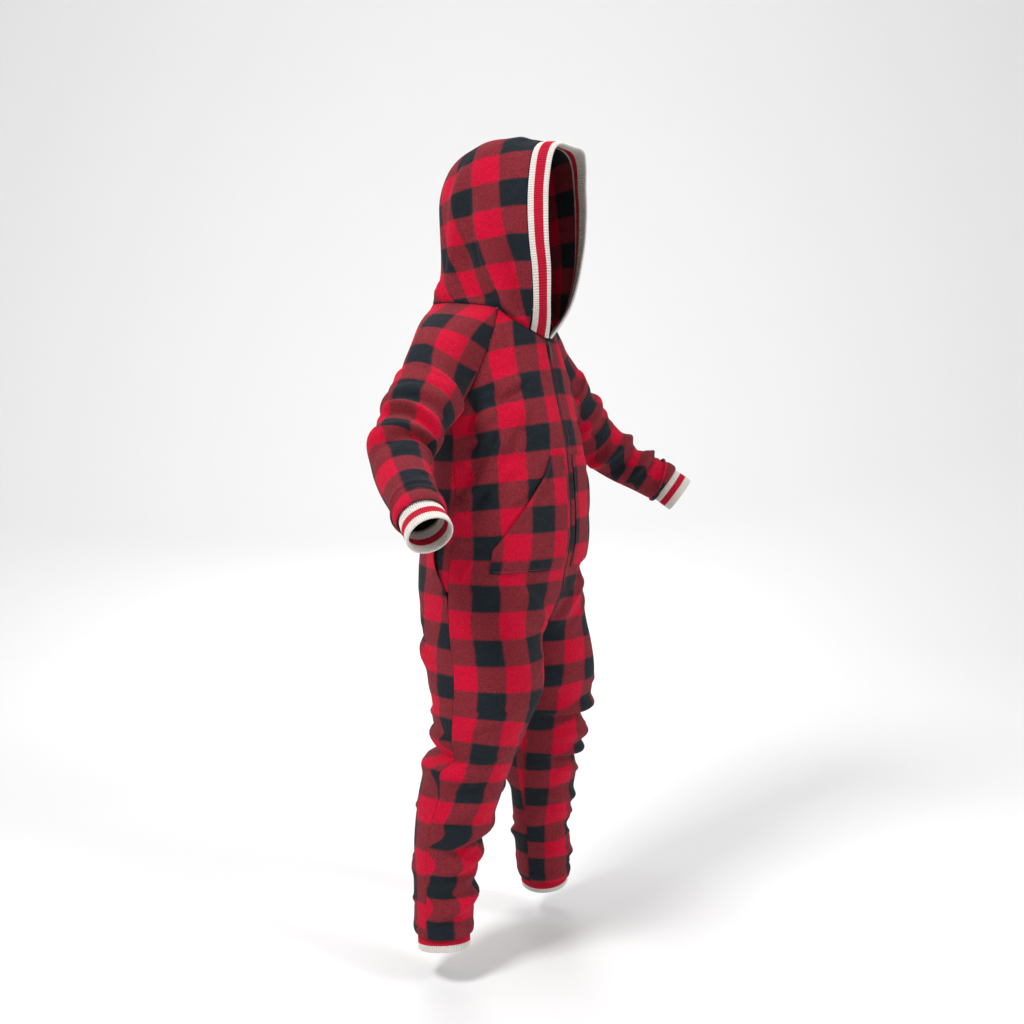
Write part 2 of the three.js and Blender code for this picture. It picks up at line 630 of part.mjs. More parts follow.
function hoodFree(side, across) {
  const [fx, fy, fz] = track(BAND_SEAM, 1);
  const [, ky, kz] = track(HOOD_CENTRE, 1);
  const seam = [side * fx, fy, fz];
  const centre = [0, ky, kz];
  const handleSeam = add(seam, unit([side * 0.34, 0.94, 0.02]), 108 * 0.95);
  const handleCentre = add(centre, [side, 0, 0], 96);
  const t = across;
  const r = 1 - t;
  return [0, 1, 2].map((k) => r ** 3 * seam[k] + 3 * r * r * t * handleSeam[k]
    + 3 * r * t * t * handleCentre[k] + t ** 3 * centre[k]);
}

const HOOD_ROWS = [
  0.008, 0.04, 0.1, 0.17, 0.25, 0.33, 0.42, 0.51, 0.6, 0.7, 0.79, 0.87, 0.94, 1,
];

function hoodPanel(side, name) {
  const columns = 12;
  const outer = [];
  const inner = [];
  HOOD_ROWS.forEach((down) => {
    const top = [];
    const under = [];
    steps(0.004, 1, columns).forEach((across) => {
      const d = Math.min(Math.max(down, 0.02), 0.985);
      const c = Math.min(Math.max(across, 0.02), 0.98);
      const n = normalOf((a, b) => hoodSurface(side, a, b), c, d, 0.015, 0.012,
        [side * 10, -10, 1120 + 200 * (1 - d)]);
      const point = hoodSurface(side, across, down);
      top.push(keepSide(side, point, SEAM_GAP));
      under.push(keepSide(side, add(point, n, -CLOTH), SEAM_GAP));
    });
    outer.push(top);
    inner.push(under);
  });
  sheet(name, outer, inner, RED);
}

function loopSolid(name, loops, color, roughness = 0.9) {
  const size = loops[0].length;
  const positions = loops.flat(2);
  const index = [];
  for (let i = 0; i < loops.length - 1; i += 1) {
    for (let j = 0; j < size; j += 1) {
      const a = i * size + j;
      const b = i * size + ((j + 1) % size);
      index.push(a, b, b + size, a, b + size, a + size);
    }
  }
  const end = (loops.length - 1) * size;
  for (let j = 1; j < size - 1; j += 1) {
    index.push(0, j + 1, j);
    index.push(end, end + j, end + j + 1);
  }
  return solid(name, positions, index, color, roughness);
}

function hoodBand() {
  const ribs = 50;
  const stations = steps(-1, 1, 2 * ribs);
  const loops = stations.map((s, i) => {
    const side = s < 0 ? RIGHT : LEFT;
    const place = (table, at) => {
      const [x, y, z] = track(table, Math.min(Math.abs(at), 1));
      return [(at < 0 ? RIGHT : LEFT) * x, y, z];
    };
    const seam = place(BAND_SEAM, s);
    const fold = place(BAND_FOLD, s);
    const along = sub(place(BAND_SEAM, Math.min(s + 0.03, 1)), place(BAND_SEAM, Math.max(s - 0.03, -1)));
    const width = sub(fold, seam);
    let inward = unit(cross(width, along));
    const heart = [side * 5, -60, Math.min(Math.max(seam[2], 1130), 1340)];
    inward = dot(inward, sub(heart, seam)) < 0 ? inward.map((v) => -v) : inward;
    const raise = i % 2 === 0 ? -0.5 : 0.25;
    const put = (t, depth) => add(add(seam, width, t), inward, depth);
    const start = 0.5 / Math.hypot(...width);
    return [
      put(start, raise + 0.4), put(0.34, raise - 0.6), put(0.68, raise - 0.6), put(0.95, raise + 0.6),
      put(1, 2.6), put(0.93, 4.8), put(0.5, 5), put(start, 4.6),
    ];
  });
  loopSolid('hood_band', loops, CREAM);
}

// Ribbed tube between two centres; ribs stand on its outside only.
function cuff(name, low, high, ahead, radiusLow, radiusHigh, ribs) {
  const side = unit(cross(ahead, [0, 1, 0]));
  const over = cross(side, ahead);
  const ring = (centre, radius, ribbed) => Array.from({ length: 2 * ribs }, (_, j) => {
    const turn = (Math.PI * j) / ribs;
    const r = radius + (ribbed && j % 2 === 0 ? 0.7 : 0);
    return add(add(centre, side, r * Math.cos(turn)), over, r * Math.sin(turn));
  });
  const outer = [ring(low, radiusLow, true), ring(high, radiusHigh, true)];
  const inner = [ring(low, radiusLow - RIB_WALL, false), ring(high, radiusHigh - RIB_WALL, false)];
  sheet(name, outer, inner, CREAM, true);
}

function wristCuff(side, name) {
  const { centre } = armFrame(side, 0.0);
  const { centre: inside } = armFrame(side, 0.05);
  const end = [side * CUFF_END[0], CUFF_END[1], CUFF_END[2]];
  const back = unit(sub(inside, centre));
  cuff(name, end, add(centre, back, 7), unit(sub(centre, end)), WRIST_RADIUS, WRIST_RADIUS - 1.8, 30);
}

function ankleCuff(side, name) {
  const low = [side * ANKLE_END[0], ANKLE_END[1], ANKLE_END[2]];
  const [cx, cy] = spline(side === RIGHT ? LEG_RIGHT : LEG_LEFT, ANKLE_TOP_H);
  cuff(name, low, [side * cx, cy, ANKLE_TOP_H], [0, 0, 1], ANKLE_RADIUS, ANKLE_RADIUS - 0.8, 36);
}

function pocketEdge(height) {
  if (height <= POCKET_CORNER_H) {
    return 0.335;
  }
  const k = (POCKET_TOP_H - height) / (POCKET_TOP_H - POCKET_CORNER_H);
  return 0.095 + 0.24 * k ** 1.1;
}

function pocket(side, name) {
  const heights = [
    POCKET_BOTTOM_H, 680, POCKET_CORNER_H, 742, FLAP_TOP_H, 800, 828, 856, POCKET_TOP_H,
  ];
  const inset = 0.022;
  const rows = heights.map((h) => steps(inset, pocketEdge(h), 7).map((u) => {
    const slit = smooth(POCKET_CORNER_H, 760, h) * (1 - smooth(820, POCKET_TOP_H, h));
    const near = Math.max(0, 1 - (pocketEdge(h) - u) / 0.07);
    return [h, u, CLOTH + 1.5 + 2.2 * slit * near * near, null];
  }));
  bodyPanel(name, side, rows, () => 4, DARK_RED, 2.2);
}

function zipLine(height) {
  const point = ringPoint(LEFT, height, 0);
  const above = ringPoint(LEFT, height + 3, 0);
  const below = ringPoint(LEFT, height - 3, 0);
  const along = unit(sub(above, below));
  const out = unit([0, -along[2], along[1]]);
  return { point: [0, point[1], point[2]], along, out };
}

function zipTape() {
  const heights = [
    ZIP_BOTTOM_H, 600, ...FLAP_HEIGHTS, ...CHEST_HEIGHTS,
    ...steps(0, 1, RAGLAN_ROWS).slice(1, -1).map((r) => UNDERARM_H + r * (1075 - UNDERARM_H)), 1071,
  ];
  const section = [
    [-CHAIN_HALF, 0.5], [CHAIN_HALF, 0.5], [CHAIN_HALF, -3.4], [10, -3.4],
    [10, -4.4], [-10, -4.4], [-10, -3.4], [-CHAIN_HALF, -3.4],
  ];
  const loops = heights.map((h) => {
    const { point, out } = zipLine(h);
    return section.map(([x, lift]) => add([x, point[1], point[2]], out, lift));
  });
  const size = section.length;
  const positions = loops.flat(2);
  const index = [];
  for (let i = 0; i < loops.length - 1; i += 1) {
    for (let j = 0; j < size; j += 1) {
      const a = i * size + j;
      const b = i * size + ((j + 1) % size);
      index.push(a, b, b + size, a, b + size, a + size);
    }
  }
  const caps = [[0, 7, 1], [1, 7, 2], [2, 7, 6], [2, 6, 5], [2, 5, 3], [3, 5, 4]];
  const end = (loops.length - 1) * size;
  caps.forEach(([a, b, c]) => {
    index.push(a, b, c);
    index.push(end + a, end + c, end + b);
  });
  solid('zip_tape', positions, index, BLACK, 0.6);
}

const SLIDER_H = 1060;

// Prism whose outline lies in the plane of the zip line and its outward normal.
function zipPrism(name, height, outline, halfWidth, roughness) {
  const { point, along, out } = zipLine(height);
  const loops = [-halfWidth, halfWidth].map((x) => outline.map(([up, lift]) => add(
    add([x, point[1], point[2]], along, up), out, lift)));
  return loopSolid(name, loops, BLACK, roughness);
}

function zipSlider() {
  const outline = [
    [-6, 0.8], [6, 0.8], [6, 2.2], [4.6, 3.6], [2.4, 3.6], [1.4, 3], [-3, 3], [-6, 1.8],
  ];
  zipPrism('zip_slider', SLIDER_H, outline, 4.4, 0.4);
}

function zipPull() {
  const outline = [
    [0, 3.9], [0, 5.3], [-2, 5.5], [-24, 4.6], [-27, 4.1], [-27, 2.9], [-24, 2.8], [-3.5, 3.4],
  ];
  zipPrism('zip_pull', SLIDER_H, outline, 3.1, 0.4);
}

function button(side, name) {
  const height = FLAP_TOP_H - 16;
  const share = 0.66;
  const lift = flapLift(height, share);
  const { point, normal } = bodyPoint(side, height, share, lift);
  const across = unit(cross(normal, [0, 0, 1]));
  const up = cross(across, normal);
  const ring = (radius, rise) => Array.from({ length: 14 }, (_, k) => {
    const turn = (2 * Math.PI * k) / 14;
    const p = add(point, across, radius * Math.cos(turn));
    return add(add(p, up, radius * Math.sin(turn)), normal, rise);
  });
  loopSolid(name, [ring(7.2, 0.55), ring(8, 1.2), ring(8, 2.4), ring(6.6, 3)], BLACK, 0.5);
}

frontPanel(RIGHT, 'front_right');
frontPanel(LEFT, 'front_left');
seatPanel(RIGHT, 'seat_leg_right');
seatPanel(LEFT, 'seat_leg_left');
backYoke();
sleeve(RIGHT, 'sleeve_right');
sleeve(LEFT, 'sleeve_left');
hoodPanel(RIGHT, 'hood_right');
hoodPanel(LEFT, 'hood_left');
hoodBand();
wristCuff(RIGHT, 'wrist_cuff_right');
wristCuff(LEFT, 'wrist_cuff_left');
ankleCuff(RIGHT, 'ankle_cuff_right');
ankleCuff(LEFT, 'ankle_cuff_left');
pocket(RIGHT, 'pocket_right');
pocket(LEFT, 'pocket_left');
zipTape();
zipSlider();
zipPull();
button(RIGHT, 'seat_button_right');
button(LEFT, 'seat_button_left');

export default group;
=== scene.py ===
"""Hooded one-piece fleece pajama in its worn, wearer-less shape, dressed for the photograph.
Cloth is worked out in millimetres above the ankle hem and written out in the shared frame."""

import bpy
import numpy as np
from mathutils import Matrix


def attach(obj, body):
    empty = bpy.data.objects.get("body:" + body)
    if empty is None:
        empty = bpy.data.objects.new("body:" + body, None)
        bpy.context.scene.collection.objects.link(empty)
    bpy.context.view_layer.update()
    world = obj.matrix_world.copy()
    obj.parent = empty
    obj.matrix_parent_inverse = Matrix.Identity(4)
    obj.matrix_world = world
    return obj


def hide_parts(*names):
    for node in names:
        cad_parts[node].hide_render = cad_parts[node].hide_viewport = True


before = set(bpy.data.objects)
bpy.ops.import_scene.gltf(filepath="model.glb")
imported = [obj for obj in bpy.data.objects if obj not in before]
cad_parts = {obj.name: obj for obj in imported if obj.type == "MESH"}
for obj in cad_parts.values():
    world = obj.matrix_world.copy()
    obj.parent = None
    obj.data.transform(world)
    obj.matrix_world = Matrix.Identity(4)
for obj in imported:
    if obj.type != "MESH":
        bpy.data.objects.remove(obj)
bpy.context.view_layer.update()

MM = 0.001
RIGHT, LEFT = -1, 1
SIDES = ((RIGHT, "right"), (LEFT, "left"))
# wall of the fleece, and heights above the left ankle's hem, in millimetres
CLOTH, POCKET_CLOTH = 2.4, 2.2
HEM_TO_SHOULDER = 1100.0
HEM = {RIGHT: 23.0, LEFT: 16.0}
CROTCH, HIP, RISE_END = 430.0, 690, 700
UNDERARM, CHIN, FRONT_NECK, BACK_NECK = 934.0, 1075, 1122.0, 1132.0
ZIP_BOTTOM, ZIP_TOP, SLIDER = 574.0, 1071, 1060
YOKE_FOOT, FLAP_BOTTOM, FLAP_TOP = 634, 612.0, 772.0
POCKET_BOTTOM, POCKET_CORNER, POCKET_TOP = 669.0, 710.0, 868.0
# shares of the half ring: half a seam's gap, and where a pocket starts beside the zip
EDGE_SHARE, POCKET_START = 0.0005, 0.022
# how far down the hood's face seam its neckline starts, as a share of the neckline
HOOD_START = 0.125
# flat size in mm over which the folds' shares run: sleeve and hood, along and across
SLEEVE_FLAT, HOOD_FLAT = (330.0, 320.0), (330.0, 300.0)
# how much the tables' folds are raised
BODY_RISE, WRINKLE_RISE, SLEEVE_RISE = 1.45, 1.3, 1.35
# added grid lines at free edges, sewn edges and the pocket's, in mm from the edge
FREE_LINES, SEWN_LINES, POCKET_LINES = (0.6, 1.4, 3), (0.7, 2, 4), (0.5, 1.2, 2.5)
# points round each rib of the trims, and the buttons' holes from their middle in mm
PER_RIB = 6
HOLE_SPOT = 1.6
# the floor's height in the shared frame, in metres
FLOOR = -1.17

# height, half width, front line y, back line y
TORSO = np.array([
    [430, 160, -92, 68], [500, 164, -110, 88], [560, 168, -125, 104], [600, 169, -135, 112],
    [654, 169, -146, 118], [707, 167, -157, 118], [750, 164, -159, 118], [793, 160, -158, 116],
    [852, 155, -153, 116], [903, 152, -146, 120], [954, 148, -133, 126], [1000, 139, -122, 129],
    [1040, 126, -113, 129], [1080, 112, -104, 126], [1122, 97, -93, 121],
    [1150, 90, -88, 119]], float)
# height, y of the centre-front line down to the crotch
FRONT_RISE = np.array([
    [430, -14], [437, -42], [448, -63], [464, -77], [489, -88], [510, -92], [546, -99],
    [576, -117], [591, -125], [627, -141], [654, -146], [707, -157]], float)
# height, y of the centre-back line down to the crotch
BACK_RISE = np.array([
    [430, -14], [437, 14], [450, 35], [475, 54], [510, 72], [560, 92], [600, 106], [654, 117],
    [707, 118]], float)
# height, centre x, centre y, half width, half depth, alike on both sides from the crotch up
THIGH = [
    [430, 95, -38, 95, 98], [500, 91, -35, 91, 116], [600, 87, -22, 87, 138],
    [700, 85, -14, 85, 142]]
LEG = {
    RIGHT: np.array([
        [16, 163.9, 2.9, 50.4, 50.4], [30, 161, 5.8, 54, 54], [42, 159, 7, 53, 53],
        [93, 155, 6, 55.6, 55.6], [142, 148, 9, 58, 58], [196, 143, 4, 64, 64],
        [247, 135, -7, 72, 72], [300, 128, -19, 75, 76], [354, 117, -34, 77, 78],
        [400, 104, -38, 88, 88], *THIGH], float),
    LEFT: np.array([
        [16, 164.3, -0.5, 50.4, 50.4], [30, 162, -1, 54, 54], [42, 159.5, -1, 53, 53],
        [93, 155, -2, 55, 55], [142, 148, -5, 56.7, 56.7], [196, 143, -8, 61, 61],
        [247, 135, -15, 67, 67], [300, 128, -24, 71, 72], [354, 117, -35, 76, 78],
        [400, 104, -38, 88, 89], *THIGH], float),
}
# height, share of the half ring where the raglan seam lies
RAGLAN_FRONT = np.array([[934, 0.5], [955, 0.455], [977, 0.415], [1040, 0.345], [1122, 0.28]])
RAGLAN_BACK = np.array([[934, 0.5], [955, 0.55], [985, 0.6], [1050, 0.67], [1132, 0.74]])
# station, centre x, y, height and radius from the wrist seam to the underarm
ARM = np.array([
    [0, 400, -138, 791, 39.5], [0.06, 396, -132, 796, 42], [0.16, 388, -122, 801, 40],
    [0.3, 371, -98, 817, 41], [0.45, 345, -62, 842, 44.5], [0.6, 313, -28, 878, 50],
    [0.76, 275, -16, 914, 53], [0.88, 245, -9, 943, 56], [1, 206, -2, 977, 62]], float)
# share of the raglan, x, y, height of the line over the shoulder
SHOULDER = np.array([
    [0, 245, -2, 1021], [0.3, 224, 5, 1055], [0.6, 186, 12, 1088], [0.82, 142, 16, 1113],
    [1, 88, 18, 1134]], float)
CUFF_END = np.array([415.0, -167.0, 768.0])
ANKLE_END = np.array([167.0, 0.0, 0.0])
ANKLE_TOP = 34.0
ANKLE_DROP = {RIGHT: 9.0, LEFT: 0.0}
# half width, y, height along the hood's face seam, the band's fold and the crown seam
BAND_SEAM = np.array([
    [0, -114, 1408], [42, -116, 1401], [66, -118, 1379], [77, -118, 1332], [81, -119, 1285],
    [79, -121, 1235], [72, -123, 1187], [60, -118, 1135], [49, -109, 1104], [39, -98.5, 1087.5]])
BAND_FOLD = np.array([
    [0, -158, 1400], [41, -157, 1398], [57, -154, 1377], [64, -151, 1332], [66, -151, 1290],
    [62, -150, 1238], [51, -148, 1190], [38, -140, 1137], [21, -129, 1101], [4, -114, 1071.0]])
HOOD_CENTRE = np.array([
    [0, -114, 1408], [0, -78, 1416], [0, -30, 1418], [0, 12, 1415], [0, 56, 1400], [0, 88, 1374],
    [0, 107, 1330], [0, 106, 1268], [0, 100, 1200], [0, 120, 1133.5]])
# large folds: height and ring share at both ends, half width of the fold and its rise
BODY_FOLDS = {
    RIGHT: [
        (905, 0.27, 780, 0.47, 15, 7), (890, 0.33, 790, 0.5, 13, -6),
        (975, 0.38, 880, 0.44, 12, -6), (960, 0.33, 860, 0.37, 15, 5),
        (357, 0.75, 345, 0.45, 13, -9), (378, 0.78, 368, 0.52, 14, 7),
        (328, 0.8, 322, 0.4, 15, 8), (300, 0.3, 262, 0.6, 16, -5), (222, 0.12, 196, 0.42, 12, 6),
        (200, 0.1, 172, 0.4, 9, -6), (166, 0.1, 140, 0.45, 11, 5), (120, 0.06, 92, 0.4, 10, -5),
        (96, 0.08, 66, 0.45, 12, 5), (650, 0.24, 560, 0.06, 18, 5), (1010, 0.78, 930, 0.6, 15, 5),
        (900, 0.62, 800, 0.8, 17, -5), (560, 0.88, 500, 0.6, 16, 6),
        (455, 0.9, 425, 0.62, 13, -5), (180, 0.92, 130, 0.62, 12, 5),
    ],
    LEFT: [
        (905, 0.28, 800, 0.46, 15, 6), (970, 0.39, 885, 0.45, 12, -6),
        (392, 0.1, 384, 0.42, 13, 7), (370, 0.1, 358, 0.45, 12, -8),
        (335, 0.12, 322, 0.45, 14, 6), (300, 0.1, 290, 0.42, 11, 6),
        (284, 0.12, 268, 0.4, 10, -6), (210, 0.1, 180, 0.42, 12, 5),
        (150, 0.08, 118, 0.42, 11, -5), (92, 0.1, 62, 0.4, 12, 5), (352, 0.62, 340, 0.86, 14, -7),
        (322, 0.58, 314, 0.88, 15, 6), (640, 0.2, 566, 0.05, 16, 5),
        (655, 0.3, 648, 0.12, 12, -6), (1000, 0.76, 915, 0.6, 14, 5),
        (880, 0.58, 815, 0.84, 16, -6), (570, 0.9, 520, 0.62, 15, 5),
        (470, 0.88, 440, 0.6, 14, -5), (230, 0.9, 190, 0.6, 13, 5), (120, 0.92, 80, 0.6, 11, 5),
    ],
}
# sleeve folds: station and share at both ends, half width of the fold and its rise
ARM_FOLDS = {
    RIGHT: [
        (0.9, 0.3, 0.84, 0.85, 11, 5), (0.725, 0.2, 0.775, 0.62, 7, -6),
        (0.745, 0.18, 0.81, 0.64, 10, 7), (0.71, 0.16, 0.6, 0.72, 13, 8),
        (0.67, 0.16, 0.56, 0.62, 8, -5), (0.12, 0.3, 0.12, 0.9, 7, 3),
    ],
    LEFT: [
        (0.93, 0.35, 0.86, 0.7, 10, -7), (0.8, 0.1, 0.84, 0.45, 13, 5),
        (0.56, 0.02, 0.44, 0.62, 11, 8), (0.47, 0.02, 0.36, 0.6, 8, -6),
        (0.34, 0.2, 0.27, 0.62, 8, 6), (0.12, 0.1, 0.12, 0.9, 7, 4),
    ],
}
# finer creases of the same form, on the shown and the hidden sides
BODY_WRINKLES = {
    RIGHT: [
        (960, 0.168, 832, 0.445, 16, 7), (932, 0.232, 827, 0.465, 12, -7),
        (1002, 0.194, 954, 0.441, 13, 5), (987, 0.289, 960, 0.453, 10, -6),
        (853, 0.253, 803, 0.445, 13, 5), (943, 0.325, 891, 0.451, 10, 5),
        (900, 0.114, 832, 0.325, 13, -4), (808, 0.361, 792, 0.481, 10, -5),
        (729, 0.353, 722, 0.459, 10, 4), (1010, 0.14, 965, 0.3, 7, 2.2),
        (985, 0.1, 930, 0.24, 6, -1.8), (930, 0.3, 842, 0.42, 6, 2.4),
        (868, 0.36, 800, 0.48, 6, -2.2), (842, 0.12, 776, 0.3, 7, 1.8),
        (700, 0.4, 640, 0.47, 6, 2.2), (668, 0.16, 610, 0.36, 8, -2.0),
        (560, 0.3, 515, 0.44, 7, 2.2), (520, 0.1, 480, 0.26, 8, 2.0),
        (430, 0.3, 398, 0.46, 8, 2.4), (402, 0.1, 372, 0.3, 7, -2.2),
        (352, 0.26, 338, 0.46, 5, 2.6), (286, 0.12, 270, 0.34, 6, 2.2),
        (246, 0.3, 222, 0.46, 6, -2.4), (184, 0.2, 160, 0.4, 5, 2.2),
        (132, 0.2, 108, 0.44, 5, 2.0), (78, 0.14, 52, 0.36, 5, 2.2), (62, 0.3, 42, 0.48, 5, -1.8),
        (1040, 0.84, 985, 0.7, 8, 2.0), (870, 0.6, 810, 0.72, 8, 2.2),
        (560, 0.66, 500, 0.86, 8, -2.2), (420, 0.6, 400, 0.84, 7, 2.6),
        (330, 0.64, 318, 0.88, 6, -2.4), (250, 0.62, 226, 0.84, 6, 2.2),
        (150, 0.6, 122, 0.84, 6, -2.0), (84, 0.6, 56, 0.86, 6, 2.2),
    ],
    LEFT: [
        (965, 0.2, 850, 0.43, 15, 5), (930, 0.26, 840, 0.45, 12, -5),
        (1012, 0.14, 955, 0.3, 7, 2.0), (940, 0.1, 900, 0.26, 7, -1.8),
        (870, 0.12, 800, 0.34, 7, 1.8), (690, 0.38, 640, 0.46, 6, 2.0),
        (600, 0.3, 545, 0.14, 8, 2.0), (470, 0.12, 436, 0.34, 8, 2.2),
        (420, 0.1, 402, 0.34, 6, -2.4), (354, 0.2, 340, 0.4, 5, 2.6),
        (312, 0.14, 300, 0.36, 5, -2.2), (262, 0.16, 240, 0.4, 6, 2.4),
        (236, 0.1, 214, 0.3, 5, -1.8), (172, 0.14, 150, 0.38, 6, 2.2),
        (128, 0.2, 100, 0.42, 5, 2.2), (70, 0.12, 46, 0.36, 5, 2.4),
        (1030, 0.86, 970, 0.7, 8, 2.0), (860, 0.6, 800, 0.74, 8, 2.0),
        (540, 0.64, 490, 0.84, 8, -2.0), (410, 0.6, 392, 0.84, 7, 2.6),
        (300, 0.62, 290, 0.86, 6, 2.2), (240, 0.6, 214, 0.82, 6, -2.0),
        (160, 0.62, 132, 0.86, 6, 2.2), (80, 0.6, 52, 0.84, 6, 2.0),
    ],
}
ARM_WRINKLES = {
    RIGHT: [
        (0.96, 0.3, 0.92, 0.7, 6, 2.4), (0.87, 0.1, 0.84, 0.5, 6, -2.0),
        (0.78, 0.4, 0.75, 0.9, 6, 2.6), (0.7, 0.2, 0.67, 0.6, 5, -2.2),
        (0.59, 0.1, 0.56, 0.5, 6, 2.4), (0.5, 0.3, 0.46, 0.7, 7, -2.0),
        (0.4, 0.1, 0.34, 0.5, 6, 2.2), (0.28, 0.3, 0.23, 0.8, 6, 2.0),
        (0.19, 0.1, 0.17, 0.6, 5, -2.0), (1.2, 0.2, 1.06, 0.36, 7, 2.2),
        (1.3, 0.7, 1.1, 0.6, 8, -2.0), (1.5, 0.45, 1.2, 0.42, 9, 1.8),
    ],
    LEFT: [
        (0.97, 0.2, 0.9, 0.6, 6, 2.4), (0.76, 0.1, 0.72, 0.5, 6, 2.2),
        (0.68, 0.3, 0.64, 0.8, 6, -2.2), (0.6, 0.1, 0.52, 0.46, 6, -2.2),
        (0.42, 0.1, 0.32, 0.5, 5, 2.6), (0.3, 0.3, 0.25, 0.8, 6, 2.0),
        (0.2, 0.1, 0.18, 0.6, 5, -2.0), (1.22, 0.24, 1.06, 0.38, 7, 2.2),
        (1.3, 0.7, 1.1, 0.62, 8, -2.0), (1.5, 0.5, 1.2, 0.46, 9, 1.8),
    ],
}
# hood folds: down and across at both ends, half width and rise
HOOD_FOLDS = {
    RIGHT: [
        (0.5, 0.34, 0.96, 0.17, 14, 12), (0.68, 0.44, 1.04, 0.3, 15, -13),
        (0.6, 0.14, 0.9, 0.05, 10, -8), (0.9, 0.62, 1.0, 0.44, 13, 7),
        (0.4, 0.56, 0.8, 0.5, 18, 6), (0.25, 0.85, 0.6, 0.92, 14, -4),
        (0.1, 0.3, 0.12, 0.8, 12, 3), (0.2, 0.35, 0.35, 0.2, 15, -3),
    ],
    LEFT: [
        (0.58, 0.33, 0.92, 0.2, 12, 6), (0.74, 0.45, 1.02, 0.3, 13, -6),
        (0.6, 0.15, 0.88, 0.06, 10, -4), (0.86, 0.66, 0.98, 0.45, 12, 5),
        (0.3, 0.5, 0.7, 0.45, 17, 4), (0.15, 0.3, 0.3, 0.7, 14, -3),
    ],
}
# check print: its repeat across and up the cloth, and where it starts on each piece, in mm
CHECK_ACROSS, CHECK_UP, POCKET_CHECK_UP, HOOD_CHECK_UP = 101.0, 94.0, 93, 92.5
FRONT_PRINT = {RIGHT: (103.0, -986), LEFT: (0.0, -986)}
SLEEVE_PRINT = {RIGHT: (25, 0), LEFT: (111, 0)}
POCKET_PRINT = {RIGHT: (99.5, -748), LEFT: (25, -809)}
SEAT_PRINT, YOKE_PRINT, HOOD_PRINT = (-38, -535), (25, -956), 1293
# height against the shift of the front's rows and columns, in mm
ROW_SHIFT = {
    RIGHT: np.array([[55, -37], [139, -24], [234, -27], [309, -13], [377, 15], [469, 0]], float),
    LEFT: np.array([
        [83, -60], [138, -38], [222, -32], [298, -18], [392, -38], [484, -20], [567, -10],
        [650, 0]], float),
}
COLUMN_SHIFT = {
    RIGHT: np.array([
        [16, 4], [114, 4], [202, 12], [280, 4], [365, 10], [445, 33], [540, 19], [580, 14],
        [632, -3], [803, 1], [900, -9], [965, -16], [1008, -18], [1122, -24]], float),
    LEFT: np.array([
        [16, -27], [55, -27], [115, -26], [205, -27], [274, -21], [361, -12], [461, -14],
        [536, -14], [619, -8], [760, 4], [906, 13], [1008, 16]], float),
}
ROW_DROOP = np.array([
    [560, 0], [660, -2], [735, 6], [823, 12], [911, 18], [982, 37], [1060, 30]], float)
# length up the sleeve against length in the print
SLEEVE_ROWS = {
    RIGHT: np.array([
        [0, -14], [18, 0], [83, 47], [122, 94], [165, 141], [190, 192], [212, 230], [265, 282],
        [313, 329], [400, 414], [600, 610]], float),
    LEFT: np.array([
        [0, -80], [18, -47], [55, 0], [92, 47], [107, 94], [156, 141], [200, 188], [241, 235],
        [330, 330], [600, 600]], float),
}
# height on the hood, y of the first printed column's back edge and the columns' width
HOOD_COLUMNS = np.array([
    [1110, -101, 28], [1140, -97, 33.5], [1195, -91, 44], [1240, -82, 50], [1290, -73, 53],
    [1335, -68, 54], [1377, -66, 54], [1420, -66, 54]], float)


def spline(table, key):
    """Smooth curve through a table: the values of each row, met at its first column."""
    xs, ys = table[:, 0], table[:, 1:]
    value = np.clip(key, xs[0], xs[-1])
    i = np.clip(np.searchsorted(xs, value, side="right") - 1, 0, len(xs) - 2)
    mean = np.diff(ys, axis=0) / np.diff(xs)[:, None]
    slope = np.vstack([mean[:1], (mean[:-1] + mean[1:]) / 2, mean[-1:]])
    span = (xs[i + 1] - xs[i])[..., None]
    t = (value - xs[i])[..., None] / span
    t2, t3 = t ** 2, t ** 3
    ends = ys[i] * (2 * t3 - 3 * t2 + 1) + ys[i + 1] * (3 * t2 - 2 * t3)
    return ends + span * (slope[i] * (t3 - 2 * t2 + t) + slope[i + 1] * (t3 - t2))


def track(points, share):
    """Smooth curve through evenly counted points, share 0 at the first and 1 at the last."""
    counts = np.linspace(0, 1, len(points))[:, None]
    return spline(np.hstack([counts, points]), np.asarray(share, float))


def smooth(low, high, value):
    """Rises softly from 0 at low to 1 at high."""
    t = np.clip((value - low) / (high - low), 0, 1)
    return t * t * (3 - 2 * t)


def unit(v):
    """Vectors divided by their own length."""
    return v / np.maximum(np.linalg.norm(v, axis=-1, keepdims=True), 1e-9)


def stack(x, y, z):
    """Points from x, y and z of any shapes that fit together."""
    return np.stack(np.broadcast_arrays(x, y, z), axis=-1).astype(float)


def fold_sum(folds, along, across, long_mm, wide_mm):
    """Sum of soft ridges and troughs, each a Gaussian ridge between two points of the cloth with
    a tighter crease along one side of it."""
    total = np.zeros(np.broadcast(along, across).shape)
    for a0, c0, a1, c1, width, rise in folds:
        fx, fy = c0 * wide_mm, a0 * long_mm
        dx, dy = c1 * wide_mm - fx, a1 * long_mm - fy
        rx, ry = across * wide_mm - fx, along * long_mm - fy
        t = (rx * dx + ry * dy) / (dx * dx + dy * dy)
        off = (rx * dy - ry * dx) / np.hypot(dx, dy)
        ends = smooth(-0.15, 0.2, t) * (1 - smooth(0.8, 1.15, t))
        off = off / width
        crease = 0.38 * np.exp(-(((off - 1.35) / 0.62) ** 2))
        total = total + rise * ends * (np.exp(-(off ** 2)) - crease * np.sign(rise))
    return total


